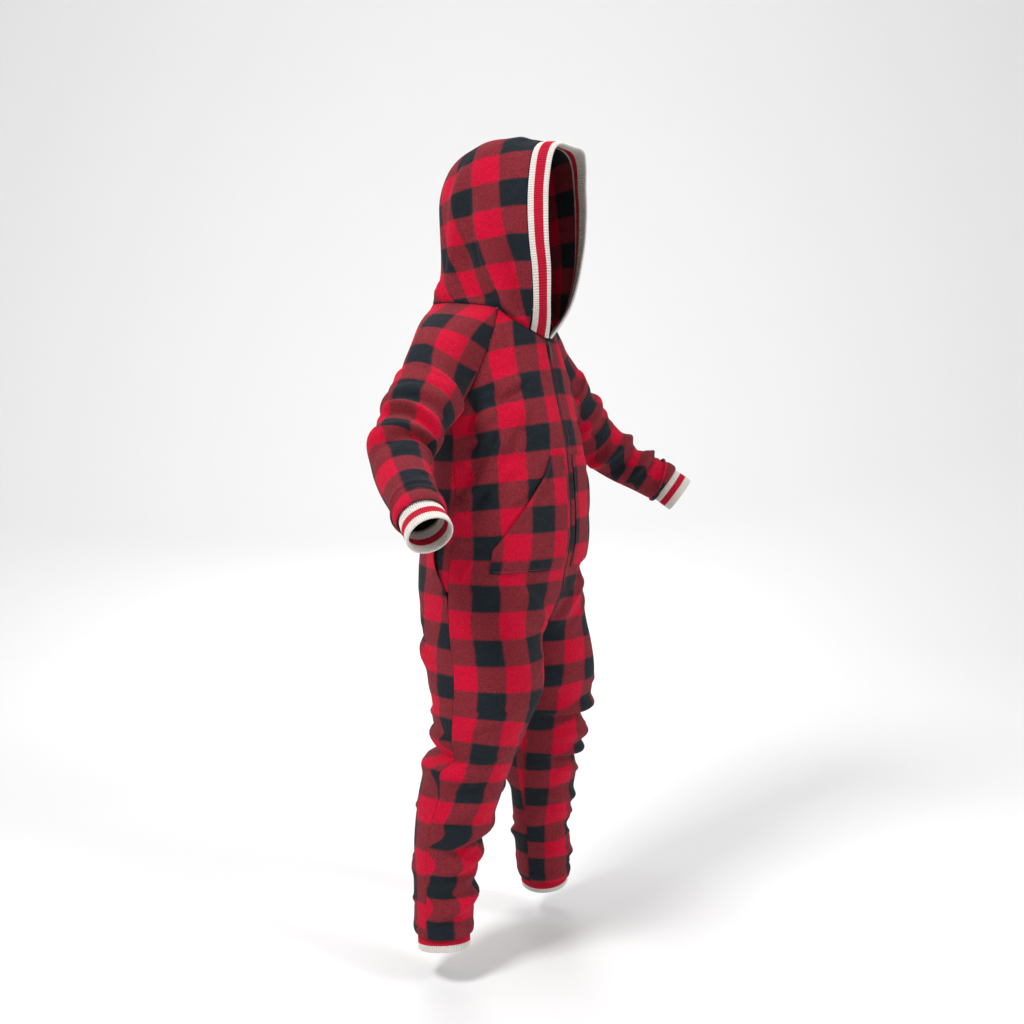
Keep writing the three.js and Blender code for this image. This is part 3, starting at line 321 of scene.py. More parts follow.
def ripple(p, size):
    """Low uneven waves of relaxed cloth: five crossed sine waves over the body's space."""
    waves = [(0.021, 0.043, 0.035, 0.4, 0.30), (-0.047, 0.02, 0.029, 1.9, 0.24),
             (0.035, -0.061, 0.052, 3.1, 0.2), (0.09, 0.03, -0.07, 5.2, 0.14),
             (-0.06, 0.11, 0.09, 0.7, 0.1)]
    total = 0
    for a, b, c, phase, rise in waves:
        total = total + rise * np.sin(a * p[..., 0] + b * p[..., 1] + c * p[..., 2] + phase)
    return size * total


def ring_point(side, h, u):
    """Half ring of the body: u 0 at the centre front or inseam, 0.5 at the side, 1 at the back.
    A rounded torso above, an ellipse for each leg below, blended between crotch and hip."""
    h, u = np.broadcast_arrays(np.asarray(h, float), np.asarray(u, float))
    half, front, back = np.moveaxis(spline(TORSO, h), -1, 0)
    cx, cy, rx, ry = np.moveaxis(spline(LEG[side], h), -1, 0)
    turn = np.pi * u
    cosine = np.cos(turn)
    torso_x = half * np.abs(np.sin(turn)) ** 0.92
    torso_y = (front + back) / 2 - (back - front) / 2 * np.sign(cosine) * np.abs(cosine) ** 0.92
    w = 1 - smooth(CROTCH, HIP, h)
    x = torso_x * (1 - w) + (cx - rx * np.cos(2 * turn)) * w
    y = torso_y * (1 - w) + (cy - ry * np.sin(2 * turn)) * w
    near_front = np.maximum(0, 1 - u / 0.24) ** 2
    near_back = np.maximum(0, 1 - (1 - u) / 0.26) ** 2
    fade = 1 - smooth(RISE_END - 60, RISE_END, h)
    rise = near_front * (spline(FRONT_RISE, h)[..., 0] - front * (1 - w) - cy * w)
    rise = rise + near_back * (spline(BACK_RISE, h)[..., 0] - back * (1 - w) - cy * w)
    reach = smooth(CROTCH - 50, CROTCH, h) * (FRONT_RISE[0, 1] - cy)
    end = np.minimum(np.abs(u), np.abs(1 - u))
    below = reach * np.maximum(0, 1 - end / 0.25) ** 2
    y = y + np.where(h >= CROTCH, np.where(h < RISE_END, fade * rise, 0), below)
    return stack(side * np.maximum(x, 0), y, h)


def normals(surface, a, b, step_a, step_b, outward):
    """Normals of surface(a, b) by small steps, all facing the side given by outward."""
    da = surface(a + step_a, b) - surface(a - step_a, b)
    db = surface(a, b + step_b) - surface(a, b - step_b)
    n = unit(np.cross(da, db))
    return n if np.sum(n * outward) > 0 else -n


def body_normal(side, h, u):
    """Normals of the body's form from its slopes up and round, turned away from the leg's
    middle."""
    safe = np.where(h > CROTCH, np.clip(u, 0.012, 0.988), u)
    centre = spline(LEG[side], np.minimum(h, RISE_END))
    inside = stack(side * centre[..., 0], centre[..., 1], h)
    bare = lambda a, b: ring_point(side, a, b)
    return normals(bare, h, safe, 2.0, 0.01, bare(h, safe) - inside)


def body_point(side, h, u, lift=0.0, fine=1.0):
    """Points and normals of the body's outer face with its folds; lift moves them out."""
    h, u = np.broadcast_arrays(np.asarray(h, float), np.asarray(u, float))
    n = body_normal(side, h, u)
    quiet = smooth(0, 0.05, u) * smooth(0, 0.05, 1 - u)
    seam = np.where(u < 0.5, spline(RAGLAN_FRONT, h)[..., 0], spline(RAGLAN_BACK, h)[..., 0])
    near = np.maximum(np.abs(u - seam), (UNDERARM - h) / 400)
    quiet = quiet * np.where(h > UNDERARM - 30, smooth(0.002, 0.06, near), 1)
    leg_girth = np.where(h > CROTCH, 470.0, 420.0)
    rise = BODY_RISE * quiet * fold_sum(BODY_FOLDS[side], h, u, 1.0, leg_girth)
    point = ring_point(side, h, u)
    more = WRINKLE_RISE * fold_sum(BODY_WRINKLES[side], h, u, 1.0, leg_girth) + ripple(point, 1.4)
    rise = rise + fine * quiet * more
    return point + n * (rise + lift)[..., None], n


def arm_frame(side, s):
    """Arm at the share s of its length: centre, radius, and the ways ahead, up and to the
    front."""
    s = np.asarray(s, float)
    flip = np.array([side, 1, 1])
    at = lambda v: spline(ARM, v)[..., :3] * flip
    ahead = unit(at(np.maximum(s - 0.02, 0)) - at(np.minimum(s + 0.02, 1)))
    up = unit(np.array([0, 0, 1.0]) - ahead * ahead[..., 2:])
    front = unit(np.cross(ahead, up)) * side
    return at(s), spline(ARM, s)[..., 3:], ahead, up, front


def arm_ring(side, s, v):
    """Circle round the arm's centre line: v turns once round from below over the front."""
    centre, radius, _, up, front = arm_frame(side, s)
    turn = (2 * np.pi * v)[..., None]
    return centre + radius * (front * np.sin(turn) - up * np.cos(turn))


def raglan_end(side, rise, is_front):
    """Point of the body on a raglan seam, the share rise of the way from underarm to neckline."""
    top, seam = (FRONT_NECK, RAGLAN_FRONT) if is_front else (BACK_NECK, RAGLAN_BACK)
    h = UNDERARM + rise * (top - UNDERARM)
    return ring_point(side, h, spline(seam, h)[..., 0])


def sleeve_surface(side, s, v):
    """Sleeve: s 0 at the cuff, 1 at the underarm, 2 at the neckline; v round it from the seam.
    A bent tube of rings below the underarm, arches between the two raglan seams above it."""
    s, v = np.broadcast_arrays(np.asarray(s, float), np.asarray(v, float))
    end = np.maximum(0, 1 - np.minimum(v, 1 - v) / 0.3)[..., None] ** 2
    zero = np.zeros_like(s)
    pull = raglan_end(side, zero, True) - arm_ring(side, zero + 1, zero)
    tube = arm_ring(side, np.minimum(s, 1), v) + pull * end * smooth(0.86, 1, s)[..., None]
    rise = np.clip(s - 1, 0, 1)
    first, last = raglan_end(side, rise, True), raglan_end(side, rise, False)
    top = spline(SHOULDER, rise) * np.array([side, 1, 1])
    middle = (first + last) / 2
    turn = (np.pi * np.clip(v, 0, 1))[..., None]
    arch = middle + (first - middle) * np.cos(turn) + (top - middle) * np.sin(turn) ** 0.8
    w = smooth(-0.06, 0.6, rise)[..., None]
    upper = arm_ring(side, zero + 1, v) * (1 - w) + arch * w
    at_first = arm_ring(side, zero + 1, zero) * (1 - w) + first * w
    at_last = arm_ring(side, zero + 1, zero + 1) * (1 - w) + last * w
    upper = upper + (first - at_first) * np.maximum(0, 1 - v / 0.3)[..., None] ** 2
    upper = upper + (last - at_last) * np.maximum(0, 1 - (1 - v) / 0.3)[..., None] ** 2
    return np.where((s <= 1)[..., None], tube, upper)


def sleeve_normal(side, s, v):
    """Normals of the sleeve from its slopes along and round, turned away from the arm's middle."""
    bare = lambda a, b: sleeve_surface(side, a, b)
    a, b = np.clip(s, 0.012, 1.985), np.clip(v, 0.015, 0.985)
    centre = arm_frame(side, np.minimum(a, 1))[0]
    return normals(bare, a, b, 0.01, 0.012, (bare(a, b) - centre) * (s < 1)[..., None])


def front_neck(across):
    """Height of the front neckline, across 0 at the zip and 1 at the raglan seam."""
    return CHIN + (FRONT_NECK - CHIN) * across ** 1.5


def neckline(side, share):
    """Neckline from the centre front (0) over the sleeve strip to the centre back (1)."""
    to_sleeve, strip_long, to_back = 0.32, 0.3, 0.62
    a = np.clip(share / to_sleeve, 0, 1)
    front = ring_point(side, front_neck(a), a * RAGLAN_FRONT[-1, 1])
    strip = sleeve_surface(side, np.full_like(share, 2.0),
                           np.clip((share - to_sleeve) / strip_long, 0, 1))
    seam = RAGLAN_BACK[-1, 1]
    back = ring_point(side, np.full_like(share, BACK_NECK),
                      seam + np.clip((share - to_back) / 0.38, 0, 1) * (1 - seam))
    low, high = (share <= to_sleeve)[..., None], (share < to_back)[..., None]
    return np.where(low, front, np.where(high, strip, back))


def bezier(a, b, c, d, t):
    """Cubic curve from a to d with the handles b and c, over t from 0 to 1."""
    t = t[..., None]
    r = 1 - t
    return r ** 3 * a + 3 * r * r * t * b + 3 * r * t * t * c + t ** 3 * d


def hood_surface(side, across, down):
    """Half hood: across 0 at the face seam and 1 at the crown seam, down 0 to 1 at the neckline.
    Each row is a cubic curve from the face seam round to the crown seam."""
    across, down = np.broadcast_arrays(np.asarray(across, float), np.asarray(down, float))
    flip = np.array([side, 1, 1])

    def row(d, open_, tip):
        """One cubic row from the face seam to the crown, opened by open_ and rounded by tip."""
        seam, centre = track(BAND_SEAM, d) * flip, track(HOOD_CENTRE, d)
        lean = unit(stack(side * 0.34, 0.94, 0.12 - 0.1 * d))
        reach = (20 * tip + 88 * open_)[..., None]
        out = (30 * tip + 66 * open_)[..., None] * np.array([side, 0, 0])
        return bezier(seam, seam + lean * reach * 0.95, centre + out, centre, across)

    p = row(down, smooth(0, 0.3, down), smooth(-0.02, 0.06, down))
    one = np.ones_like(down)
    target = neckline(side, HOOD_START + (1 - HOOD_START) * across) + np.array([0, 0, 0.35])
    pull = np.where(down > 0.6, smooth(0.6, 1, down) ** 1.5, 0)[..., None]
    return p + (target - row(one, one, one)) * pull


def hood_normal(side, across, down):
    """Normals of the half hood from its slopes, turned away from a place inside the head."""
    bare = lambda a, b: hood_surface(side, a, b)
    a, b = np.clip(across, 0.02, 0.98), np.clip(down, 0.03, 0.985)
    inside = stack(side * 10.0, -10.0, 1120 + 200 * (1 - b))
    return normals(bare, a, b, 0.015, 0.012, bare(a, b) - inside)


def spread(count, length, low=(), high=()):
    """Values from 0 to 1, even in the middle, with extra ones at the given millimetres from
    the low and the high end of a cloth that is length millimetres long."""
    low_end = [d / length for d in low]
    high_end = [1 - d / length for d in high]
    start = max(low_end, default=0) + (1 / count if low_end else 0)
    stop = min(high_end, default=1) - (1 / count if high_end else 0)
    middle = np.linspace(start if low_end else 0, stop if high_end else 1, count)
    return np.array(sorted({0.0, 1.0, *low_end, *high_end, *middle}))


def arcs(points, axis):
    """Length of cloth from the start of each grid line, along the given grid axis."""
    step = np.linalg.norm(np.diff(points, axis=axis), axis=-1)
    zero = np.zeros_like(np.take(step, [0], axis=axis))
    return np.concatenate([zero, np.cumsum(step, axis=axis)], axis=axis)


def edge_distance(points, sides):
    """Millimetres of cloth to the nearest of the named sides of a grid: low, high are its
    first and last rows, start, end its first and last columns."""
    best = np.full(points.shape[:2], 1e6)
    rows, cols = arcs(points, 0), arcs(points, 1)
    ways = {"low": rows, "high": rows[-1:] - rows, "start": cols, "end": cols[:, -1:] - cols}
    for name in sides:
        best = np.minimum(best, ways[name])
    return best


def body_uv(side, h, points, from_back):
    """Flat cloth in mm: across from the centre line, straight along the grain of the leg, and
    up along the middle of the torso and the leg, square to it."""
    ankle, waist, top = LEG[side][0, 0], 654, TORSO[-1, 0]
    middle = 0.75 if from_back else 0.25
    heights = np.linspace(ankle, waist, 80)
    ring = ring_point(side, heights[:, None], np.linspace(float(from_back), middle, 40)[None])
    reach = arcs(ring, 1)[:, -1]
    offset = np.interp(h, heights, reach[-1] - reach)
    cols = arcs(points, 1)
    across = cols - cols[:, -1:] - offset if from_back else cols + offset
    line = ring_point(side, np.linspace(ankle, top, 300), np.full(300, middle))
    tall = np.interp(h, line[:, 2], arcs(line[:, None, :], 0)[:, 0])
    centre = spline(LEG[side], np.minimum(h, CROTCH))
    lean = spline(LEG[side], np.minimum(h + 20, CROTCH + 20))
    lean = lean - spline(LEG[side], np.clip(h - 20, ankle, CROTCH - 20))
    slope = side * lean[..., 0] / 40 * (1 - smooth(380, 520, h))
    return side * across, tall + slope * (points[..., 0] - side * centre[..., 0])


def front_grid(side):
    """Front panel: heights and ring shares of its grid, from the ankle to the neckline."""
    cols = spread(46, 240, SEWN_LINES, SEWN_LINES)
    low = HEM[side] + (UNDERARM - HEM[side]) * spread(230, 918, FREE_LINES)
    rise = spread(46, 180, (), SEWN_LINES)[1:]
    h = np.concatenate([np.repeat(low[:, None], len(cols), 1),
                        UNDERARM + rise[:, None] * (front_neck(cols)[None] - UNDERARM)])
    seam = spline(RAGLAN_FRONT, UNDERARM + rise * (FRONT_NECK - UNDERARM))[:, 0] - EDGE_SHARE / 5
    end = np.concatenate([np.full(len(low), 0.5 - EDGE_SHARE), seam])
    start = np.where(h[:, :1] <= CROTCH, EDGE_SHARE, 0)
    u = start + cols[None] * (end[:, None] - start)
    return h, u


def flap_edge(h):
    """Ring share of the flap's side edge, which stands back from the side seam."""
    return 0.5 + EDGE_SHARE + 0.062 * smooth(FLAP_BOTTOM + 12, 700, h)


def flap_lift(h, u):
    """Lift of the flap over the yoke below it, with a slit that stands open at the hip."""
    near = np.maximum(0, 1 - (u - flap_edge(h)) / 0.1)
    swell = 7 * near ** 2 * smooth(622, 680, h) * (1 - smooth(735, FLAP_TOP, h))
    return smooth(596, 634, h) * (CLOTH + 1.1) + swell


def seat_grid(side):
    """Back of the leg with its half of the drop seat's flap."""
    cols = spread(44, 240, SEWN_LINES, SEWN_LINES)
    h = HEM[side] + (FLAP_TOP - HEM[side]) * spread(190, 756, FREE_LINES, FREE_LINES)[:, None]
    end = np.where(h <= CROTCH, 1 - EDGE_SHARE, 1)
    u = flap_edge(h) + cols[None] * (end - flap_edge(h))
    return np.repeat(h, len(cols), 1), u


def yoke_grid():
    """Half of the back yoke, from the side seam and raglan seam to the centre back."""
    cols = spread(40, 220, SEWN_LINES)
    low = YOKE_FOOT + (UNDERARM - YOKE_FOOT) * spread(70, 300, FREE_LINES)
    rise = spread(46, 200, (), SEWN_LINES)[1:]
    h = np.concatenate([low, UNDERARM + rise * (BACK_NECK - UNDERARM)])[:, None]
    seam = np.where(h > UNDERARM, spline(RAGLAN_BACK, h[:, 0])[:, :1], 0.5) + EDGE_SHARE
    return np.repeat(h, len(cols), 1), seam + cols[None] * (1 - seam)


def sleeve_grid():
    """Sleeve: stations from the cuff to the neckline, shares round it."""
    cols = spread(72, 340, SEWN_LINES, SEWN_LINES)
    s = np.concatenate([spread(110, 350, FREE_LINES), 1 + spread(50, 210, (), SEWN_LINES)[1:]])
    return np.meshgrid(s, 0.0001 + 0.9998 * cols, indexing="ij")


def sleeve_point(side, s, v):
    """Sleeve points and normals, moved out by the sums of its folds, less so beside its seams."""
    n = sleeve_normal(side, s, v)
    quiet = smooth(0, 0.06, v) * smooth(0, 0.06, 1 - v) * (1 - smooth(0.98, 1.1, s))
    p = sleeve_surface(side, s, v)
    rise = SLEEVE_RISE * quiet * fold_sum(ARM_FOLDS[side], s, v, *SLEEVE_FLAT)
    more = fold_sum(ARM_WRINKLES[side], s, v, *SLEEVE_FLAT) + ripple(p, 1.4)
    still = smooth(0, 0.06, v) * smooth(0, 0.06, 1 - v) * (1 - smooth(1.9, 2, s))
    return p + n * (rise + still * more)[..., None], n


def sleeve_uv(side, s, v, p):
    """Flat cloth of a sleeve in mm: round it from the line along its top, and along it."""
    cols = arcs(p, 1)
    middle = np.argmin(np.abs(v[0] - 0.5))
    picks = [np.argmin(np.abs(v[0] - x)) for x in (0.25, 0.5, 0.75)]
    along = np.mean([arcs(p[:, k:k + 1], 0)[:, 0] for k in picks], axis=0)
    return side * (cols - cols[:, middle:middle + 1]), np.repeat(along[:, None], p.shape[1], 1)


def hood_grid():
    """Half hood: shares down it and across it, clear of the band and of the crown's end."""
    cols = 0.004 + 0.996 * spread(64, 330, SEWN_LINES, SEWN_LINES)
    rows = 0.008 + 0.992 * spread(100, 560, (2, 5), SEWN_LINES)
    return np.meshgrid(rows, cols, indexing="ij")


def hood_uv(side, p):
    """Flat cloth of a hood half in mm: its side seen square on, with the part that bends over
    to the crown seam laid out beyond it."""
    heart = np.array([0, -20.0, 1290.0])
    out = unit((p - heart)[..., 1:])
    extra = 0.62 * np.maximum(0, 92 - side * p[..., 0])[..., None] * out
    flat = p[..., 1:] + extra * smooth(-90, -40, p[..., 1])[..., None]
    return flat[..., 0], flat[..., 1]


def pocket_edge(h):
    """Ring share of the pocket's outer edge: upright at its foot, then slanted to the zip."""
    k = np.clip((POCKET_TOP - h) / (POCKET_TOP - POCKET_CORNER), 0, 1)
    return np.where(h <= POCKET_CORNER, 0.335, 0.095 + 0.24 * k ** 1.1)


def pocket_grid():
    """Patch pocket: heights and ring shares, slanted towards the zip above its corner."""
    cols = spread(40, 130, POCKET_LINES, POCKET_LINES)
    rows = spread(60, 199, POCKET_LINES, POCKET_LINES)[:, None]
    h = POCKET_BOTTOM + (POCKET_TOP - POCKET_BOTTOM) * rows
    u = POCKET_START + cols[None] * (pocket_edge(h) - POCKET_START)
    return np.repeat(h, len(cols), 1), u


def pocket_lift(h, u):
    """Lift of the pocket over the front, more at its hand opening, which stands open."""
    slit = smooth(POCKET_CORNER, 760, h) * (1 - smooth(820, POCKET_TOP, h))
    near = np.maximum(0, 1 - (pocket_edge(h) - u) / 0.07)
    return CLOTH + 0.2 + 3.5 * slit * near ** 2


def in_frame(points):
    """Metres in the shared frame of points in mm above the hem."""
    return points * MM - np.array([0, 0, HEM_TO_SHOULDER * MM])


def add_object(name, data):
    """Object with the given data, linked to the scene and left at the origin."""
    made = bpy.data.objects.new(name, data)
    bpy.context.scene.collection.objects.link(made)
    return made


def circle(count, x_axis, y_axis):
    """Points of a unit circle in the plane of two axes."""
    turn = np.linspace(0, 2 * np.pi, count, endpoint=False)
    return np.cos(turn)[:, None] * x_axis + np.sin(turn)[:, None] * y_axis


def mesh_object(name, points, faces, uv=None, smooth_faces=True):
    """Mesh from points in mm above the hem, faces of one size and a UV pair per point."""
    mesh = bpy.data.meshes.new(name)
    corners = faces.shape[1]
    mesh.vertices.add(len(points))
    mesh.vertices.foreach_set("co", in_frame(points).astype(np.float32).ravel())
    mesh.loops.add(faces.size)
    mesh.loops.foreach_set("vertex_index", faces.astype(np.int32).ravel())
    mesh.polygons.add(len(faces))
    mesh.polygons.foreach_set("loop_start", np.arange(0, faces.size, corners, dtype=np.int32))
    mesh.update(calc_edges=True)
    mesh.polygons.foreach_set("use_smooth", np.full(len(faces), smooth_faces))
    if uv is not None:
        layer = mesh.uv_layers.new(name="print")
        layer.data.foreach_set("uv", uv[faces.ravel()].astype(np.float32).ravel())
    mesh.validate()
    return add_object(name, mesh)


def grid_faces(rows, cols, start=0, closed=False):
    """Quads of a grid of points numbered row by row; closed joins the last column to the first."""
    index = start + np.arange(rows * cols).reshape(rows, cols)
    if closed:
        index = np.hstack([index, index[:, :1]])
    corners = [index[:-1, :-1], index[:-1, 1:], index[1:, 1:], index[1:, :-1]]
    return np.stack(corners, -1).reshape(-1, 4)


def rim_faces(rows, cols):
    """Quads that join the border of one grid to the border of a second one numbered after it."""
    index = np.arange(rows * cols).reshape(rows, cols)
    loop = np.concatenate([index[0, :-1], index[:-1, -1], index[-1, :0:-1], index[:0:-1, 0]])
    ahead = np.roll(loop, -1)
    more = rows * cols
    return np.stack([loop, loop + more, ahead + more, ahead], -1)


def shell(name, points, n, flat, wall=CLOTH, free=(), sewn=(), rounded=1.0):
    """Thin cloth: an outer grid, the same grid moved in by the wall and a rim between them.
    Free edges are rounded over half the wall; sewn edges dip and then swell beside the seam."""
    half = wall / 2
    inset = np.clip(half - edge_distance(points, free), 0, half)
    taper = rounded * (half - np.sqrt(np.maximum(half ** 2 - inset ** 2, 0)))
    taper = np.minimum(taper, half * 0.86)
    apart = edge_distance(points, sewn)
    at_seam = np.exp(-((apart / 1.6) ** 2))
    dip = 0.45 * at_seam - 0.4 * np.exp(-(((apart - 6) / 4) ** 2))
    outer = points - n * (taper + dip)[..., None]
    inner = points - n * (wall - taper + dip - 0.2 * at_seam)[..., None]
    rows, cols = points.shape[:2]
    r, c = rows // 2, cols // 2
    facing = np.cross(outer[r, c + 1] - outer[r, c], outer[r + 1, c] - outer[r, c])
    faces = np.vstack([grid_faces(rows, cols), grid_faces(rows, cols, rows * cols)[:, ::-1],
                       rim_faces(rows, cols)])
    if facing @ n[r, c] < 0:
        faces = faces[:, ::-1]
    uv = np.stack(flat, -1).reshape(-1, 2)
    return mesh_object(name, np.vstack([outer.reshape(-1, 3), inner.reshape(-1, 3)]), faces,
                       np.vstack([uv, uv]))


def keep_side(side, points, least=0.2):
    """Holds a panel on its own side of the centre plane, at least so many mm from it."""
    x, y, z = np.moveaxis(points, -1, 0)
    return stack(side * np.maximum(side * x, least), y, z)


def chain_space(h):
    """Distance of a front's edge from the centre plane, wider beside the zip."""
    return 0.2 + 1.9 * smooth(ZIP_BOTTOM - 12, ZIP_BOTTOM - 3, h)


def check(across, up, start, tall=CHECK_UP):
    """Check units: whole numbers start a black band, halves start a red one."""
    return (across + start[0]) / CHECK_ACROSS, (up + start[1]) / tall


def front_panel(side, name):
    """Half front over the leg: the body's face from the zip to the side seam, as a shell."""
    h, u = front_grid(side)
    p, n = body_point(side, h, u)
    across, up = body_uv(side, h, p, False)
    reach = np.minimum(np.abs(across), 240) / 180
    up = up + spline(ROW_SHIFT[side], h)[..., 0] + spline(ROW_DROOP, h)[..., 0] * reach ** 2
    flat = check(across + spline(COLUMN_SHIFT[side], h)[..., 0], up, FRONT_PRINT[side])
    p = keep_side(side, p, chain_space(h))
    return shell(name, p, n, flat, free=("low", "start"), sewn=("end", "high"))


def seat_panel(side, name):
    """Back of a leg with its half flap: the body's face, lifted where the flap lies over."""
    h, u = seat_grid(side)
    p, n = body_point(side, h, u, flap_lift(h, u))
    across, up = body_uv(side, h, p, True)
    # sewn to the front below the hip slit, so only the hem and the flap have rounded edges
    rounded = np.maximum(smooth(604, 636, h), 1 - smooth(27, 36, h))
    return shell(name, keep_side(side, p), n, check(np.abs(across), up, SEAT_PRINT),
                 free=("low", "start", "high"), sewn=("end",), rounded=rounded)


def back_yoke(name):
    """Upper back: both halves of the body's face, joined along the centre-back line."""
    halves = []
    for side in (RIGHT, LEFT):
        h, u = yoke_grid()
        p, n = body_point(side, h, u)
        up = body_uv(side, h, p, True)[1]
        cols = arcs(p, 1)
        halves.append((p, n, side * (cols - cols[:, -1:]), up))
    p, n, across, up = [np.concatenate([a, b[:, -2::-1]], axis=1) for a, b in zip(*halves)]
    return shell(name, p, n, check(across, up, YOKE_PRINT), free=("low",),
                 sewn=("start", "end", "high"))


def sleeve(side, name):
    """Sleeve from the raglan seam to the cuff: the arm's tube opened at its lower seam."""
    s, v = sleeve_grid()
    p, n = sleeve_point(side, s, v)
    across, along = sleeve_uv(side, s, v, p)
    flat = check(across, spline(SLEEVE_ROWS[side], along)[..., 0], SLEEVE_PRINT[side])
    return shell(name, p, n, flat, sewn=("low", "high", "start", "end"))


def hood(side, name):
    """Half hood: its surface moved out by its folds, with the print laid level round the head."""
    rows, cols = hood_grid()
    p = hood_surface(side, cols, rows)
    n = hood_normal(side, cols, rows)
    y, z = hood_uv(side, p)
    soft = smooth(0, 0.12, rows) * smooth(0, 0.1, cols) * smooth(0, 0.1, 1 - cols)
    rise = fold_sum(HOOD_FOLDS[side], rows, cols, *HOOD_FLAT) + ripple(p, 1.6)
    p = p + n * (soft * (1 - smooth(0.93, 1, rows)) * rise)[..., None]
    edge, width = np.moveaxis(spline(HOOD_COLUMNS, z), -1, 0)
    up = z + 0.13 * np.maximum(y + 92, 0) - HOOD_PRINT
    flat = 0.5 + (y - edge) / (2 * width), up / HOOD_CHECK_UP
    return shell(name, keep_side(side, p), n, flat, sewn=("low", "high", "start", "end"))


def pocket(side, name):
    """Patch pocket: the body's face lifted by the thickness of the cloth below it."""
    h, u = pocket_grid()
    p, n = body_point(side, h, u, pocket_lift(h, u))
    across, up = body_uv(side, h, p, False)
    across = across + side * np.abs(p[:, :1, 0])
    flat = check(across, up, POCKET_PRINT[side], POCKET_CHECK_UP)
    return shell(name, keep_side(side, p, 4), n, flat, wall=POCKET_CLOTH,
                 free=("low", "high", "start", "end"))


def hood_band():
    """Rib band along the face edge: fine ribs round a loop that runs from the seam over the
    front fold and back inside, with its stripes told by the place on the loop."""
    ribs = 210
    s = np.linspace(-0.9985, 0.9985, ribs * PER_RIB + 1)
    flip = stack(np.where(s < 0, -1.0, 1.0), 1, 1)
    seam, fold = track(BAND_SEAM, np.abs(s)) * flip, track(BAND_FOLD, np.abs(s)) * flip
    width = fold - seam
    ahead = np.gradient(seam, axis=0)
    centre = stack(0 * s, -60 + 0 * s, np.clip(seam[:, 2], 1130, 1340))
    inward = unit(np.cross(width, ahead))
    inward = inward * np.where(np.sum(inward * (centre - seam), -1) < 0, -1, 1)[:, None]
    blur = np.ones(21) / 21
    padded = np.pad(inward, ((10, 10), (0, 0)), "edge")
    inward = unit(np.stack([np.convolve(c, blur, "valid") for c in padded.T], -1))
    # share of the width and depth behind the outer face, out along the front and back inside
    profile = np.array([
        [0.012, 0.9], [0.02, 0.2], [0.06, -0.5], [0.18, -0.9], [0.34, -1.0], [0.5, -1.05],
        [0.66, -1.0], [0.8, -0.7], [0.9, -0.1], [0.965, 0.8], [0.995, 1.7], [1.0, 2.6],
        [0.99, 3.6], [0.96, 4.4], [0.9, 4.9], [0.75, 5.1], [0.55, 5.1], [0.35, 5.0], [0.18, 4.9],
        [0.06, 4.8], [0.02, 4.4], [0.012, 3.6]])
    outside = np.arange(len(profile)) < 11
    rib = np.cos(2 * np.pi * np.arange(len(s)) / PER_RIB)
    give = 0.4 * (rib[:, None] * smooth(0.02, 0.08, profile[:, 0])[None])
    wave = 0.7 * np.sin(s * 23) + 0.5 * np.sin(s * 41 + 1)
    share, depth = profile[None, :, 0], profile[None, :, 1]
    lift = np.where(outside[None], -give, give) + depth + 0.25 * wave[:, None] * (share > 0.3)
    p = seam[:, None] + width[:, None] * share[..., None] + inward[:, None] * lift[..., None]
    place = np.where(outside, profile[:, 0], 2 - profile[:, 0])[None]
    # at the crown the roll of the band shows cream alone
    top = (smooth(-0.1, -0.01, s) * (1 - smooth(0.2, 0.4, s)))[:, None]
    place = np.where(outside[None], place * (1 - top) + (0.85 + 0.15 * place) * top, place)
    uv = np.stack(np.broadcast_arrays(place, (np.arange(len(s)) / PER_RIB)[:, None]), -1)
    rows, cols = p.shape[:2]
    faces = grid_faces(rows, cols, closed=True)
    half = cols // 2
    left, right = np.arange(0, half), np.arange(cols - 1, cols - 1 - half, -1)
    cap = np.stack([left[:-1], left[1:], right[1:], right[:-1]], -1)[: half - 1]
    end = cap[:, ::-1] + (rows - 1) * cols
    return closed_form("hood_band_rib", p, np.vstack([faces, cap, end]), uv)


def outward(points, faces):
    """Turns all faces over when the closed form they make would have a negative volume."""
    a, b, c, d = (points[faces[:, k]] for k in range(4))
    volume = np.sum(a * np.cross(b, c)) + np.sum(a * np.cross(c, d))
    return faces if volume > 0 else faces[:, ::-1]


def closed_form(name, points, faces, uv=None):
    """Mesh of a grid of points whose faces close it, turned outward."""
    points = points.reshape(-1, 3)
    return mesh_object(name, points, outward(points, faces),
                       None if uv is None else uv.reshape(-1, 2))


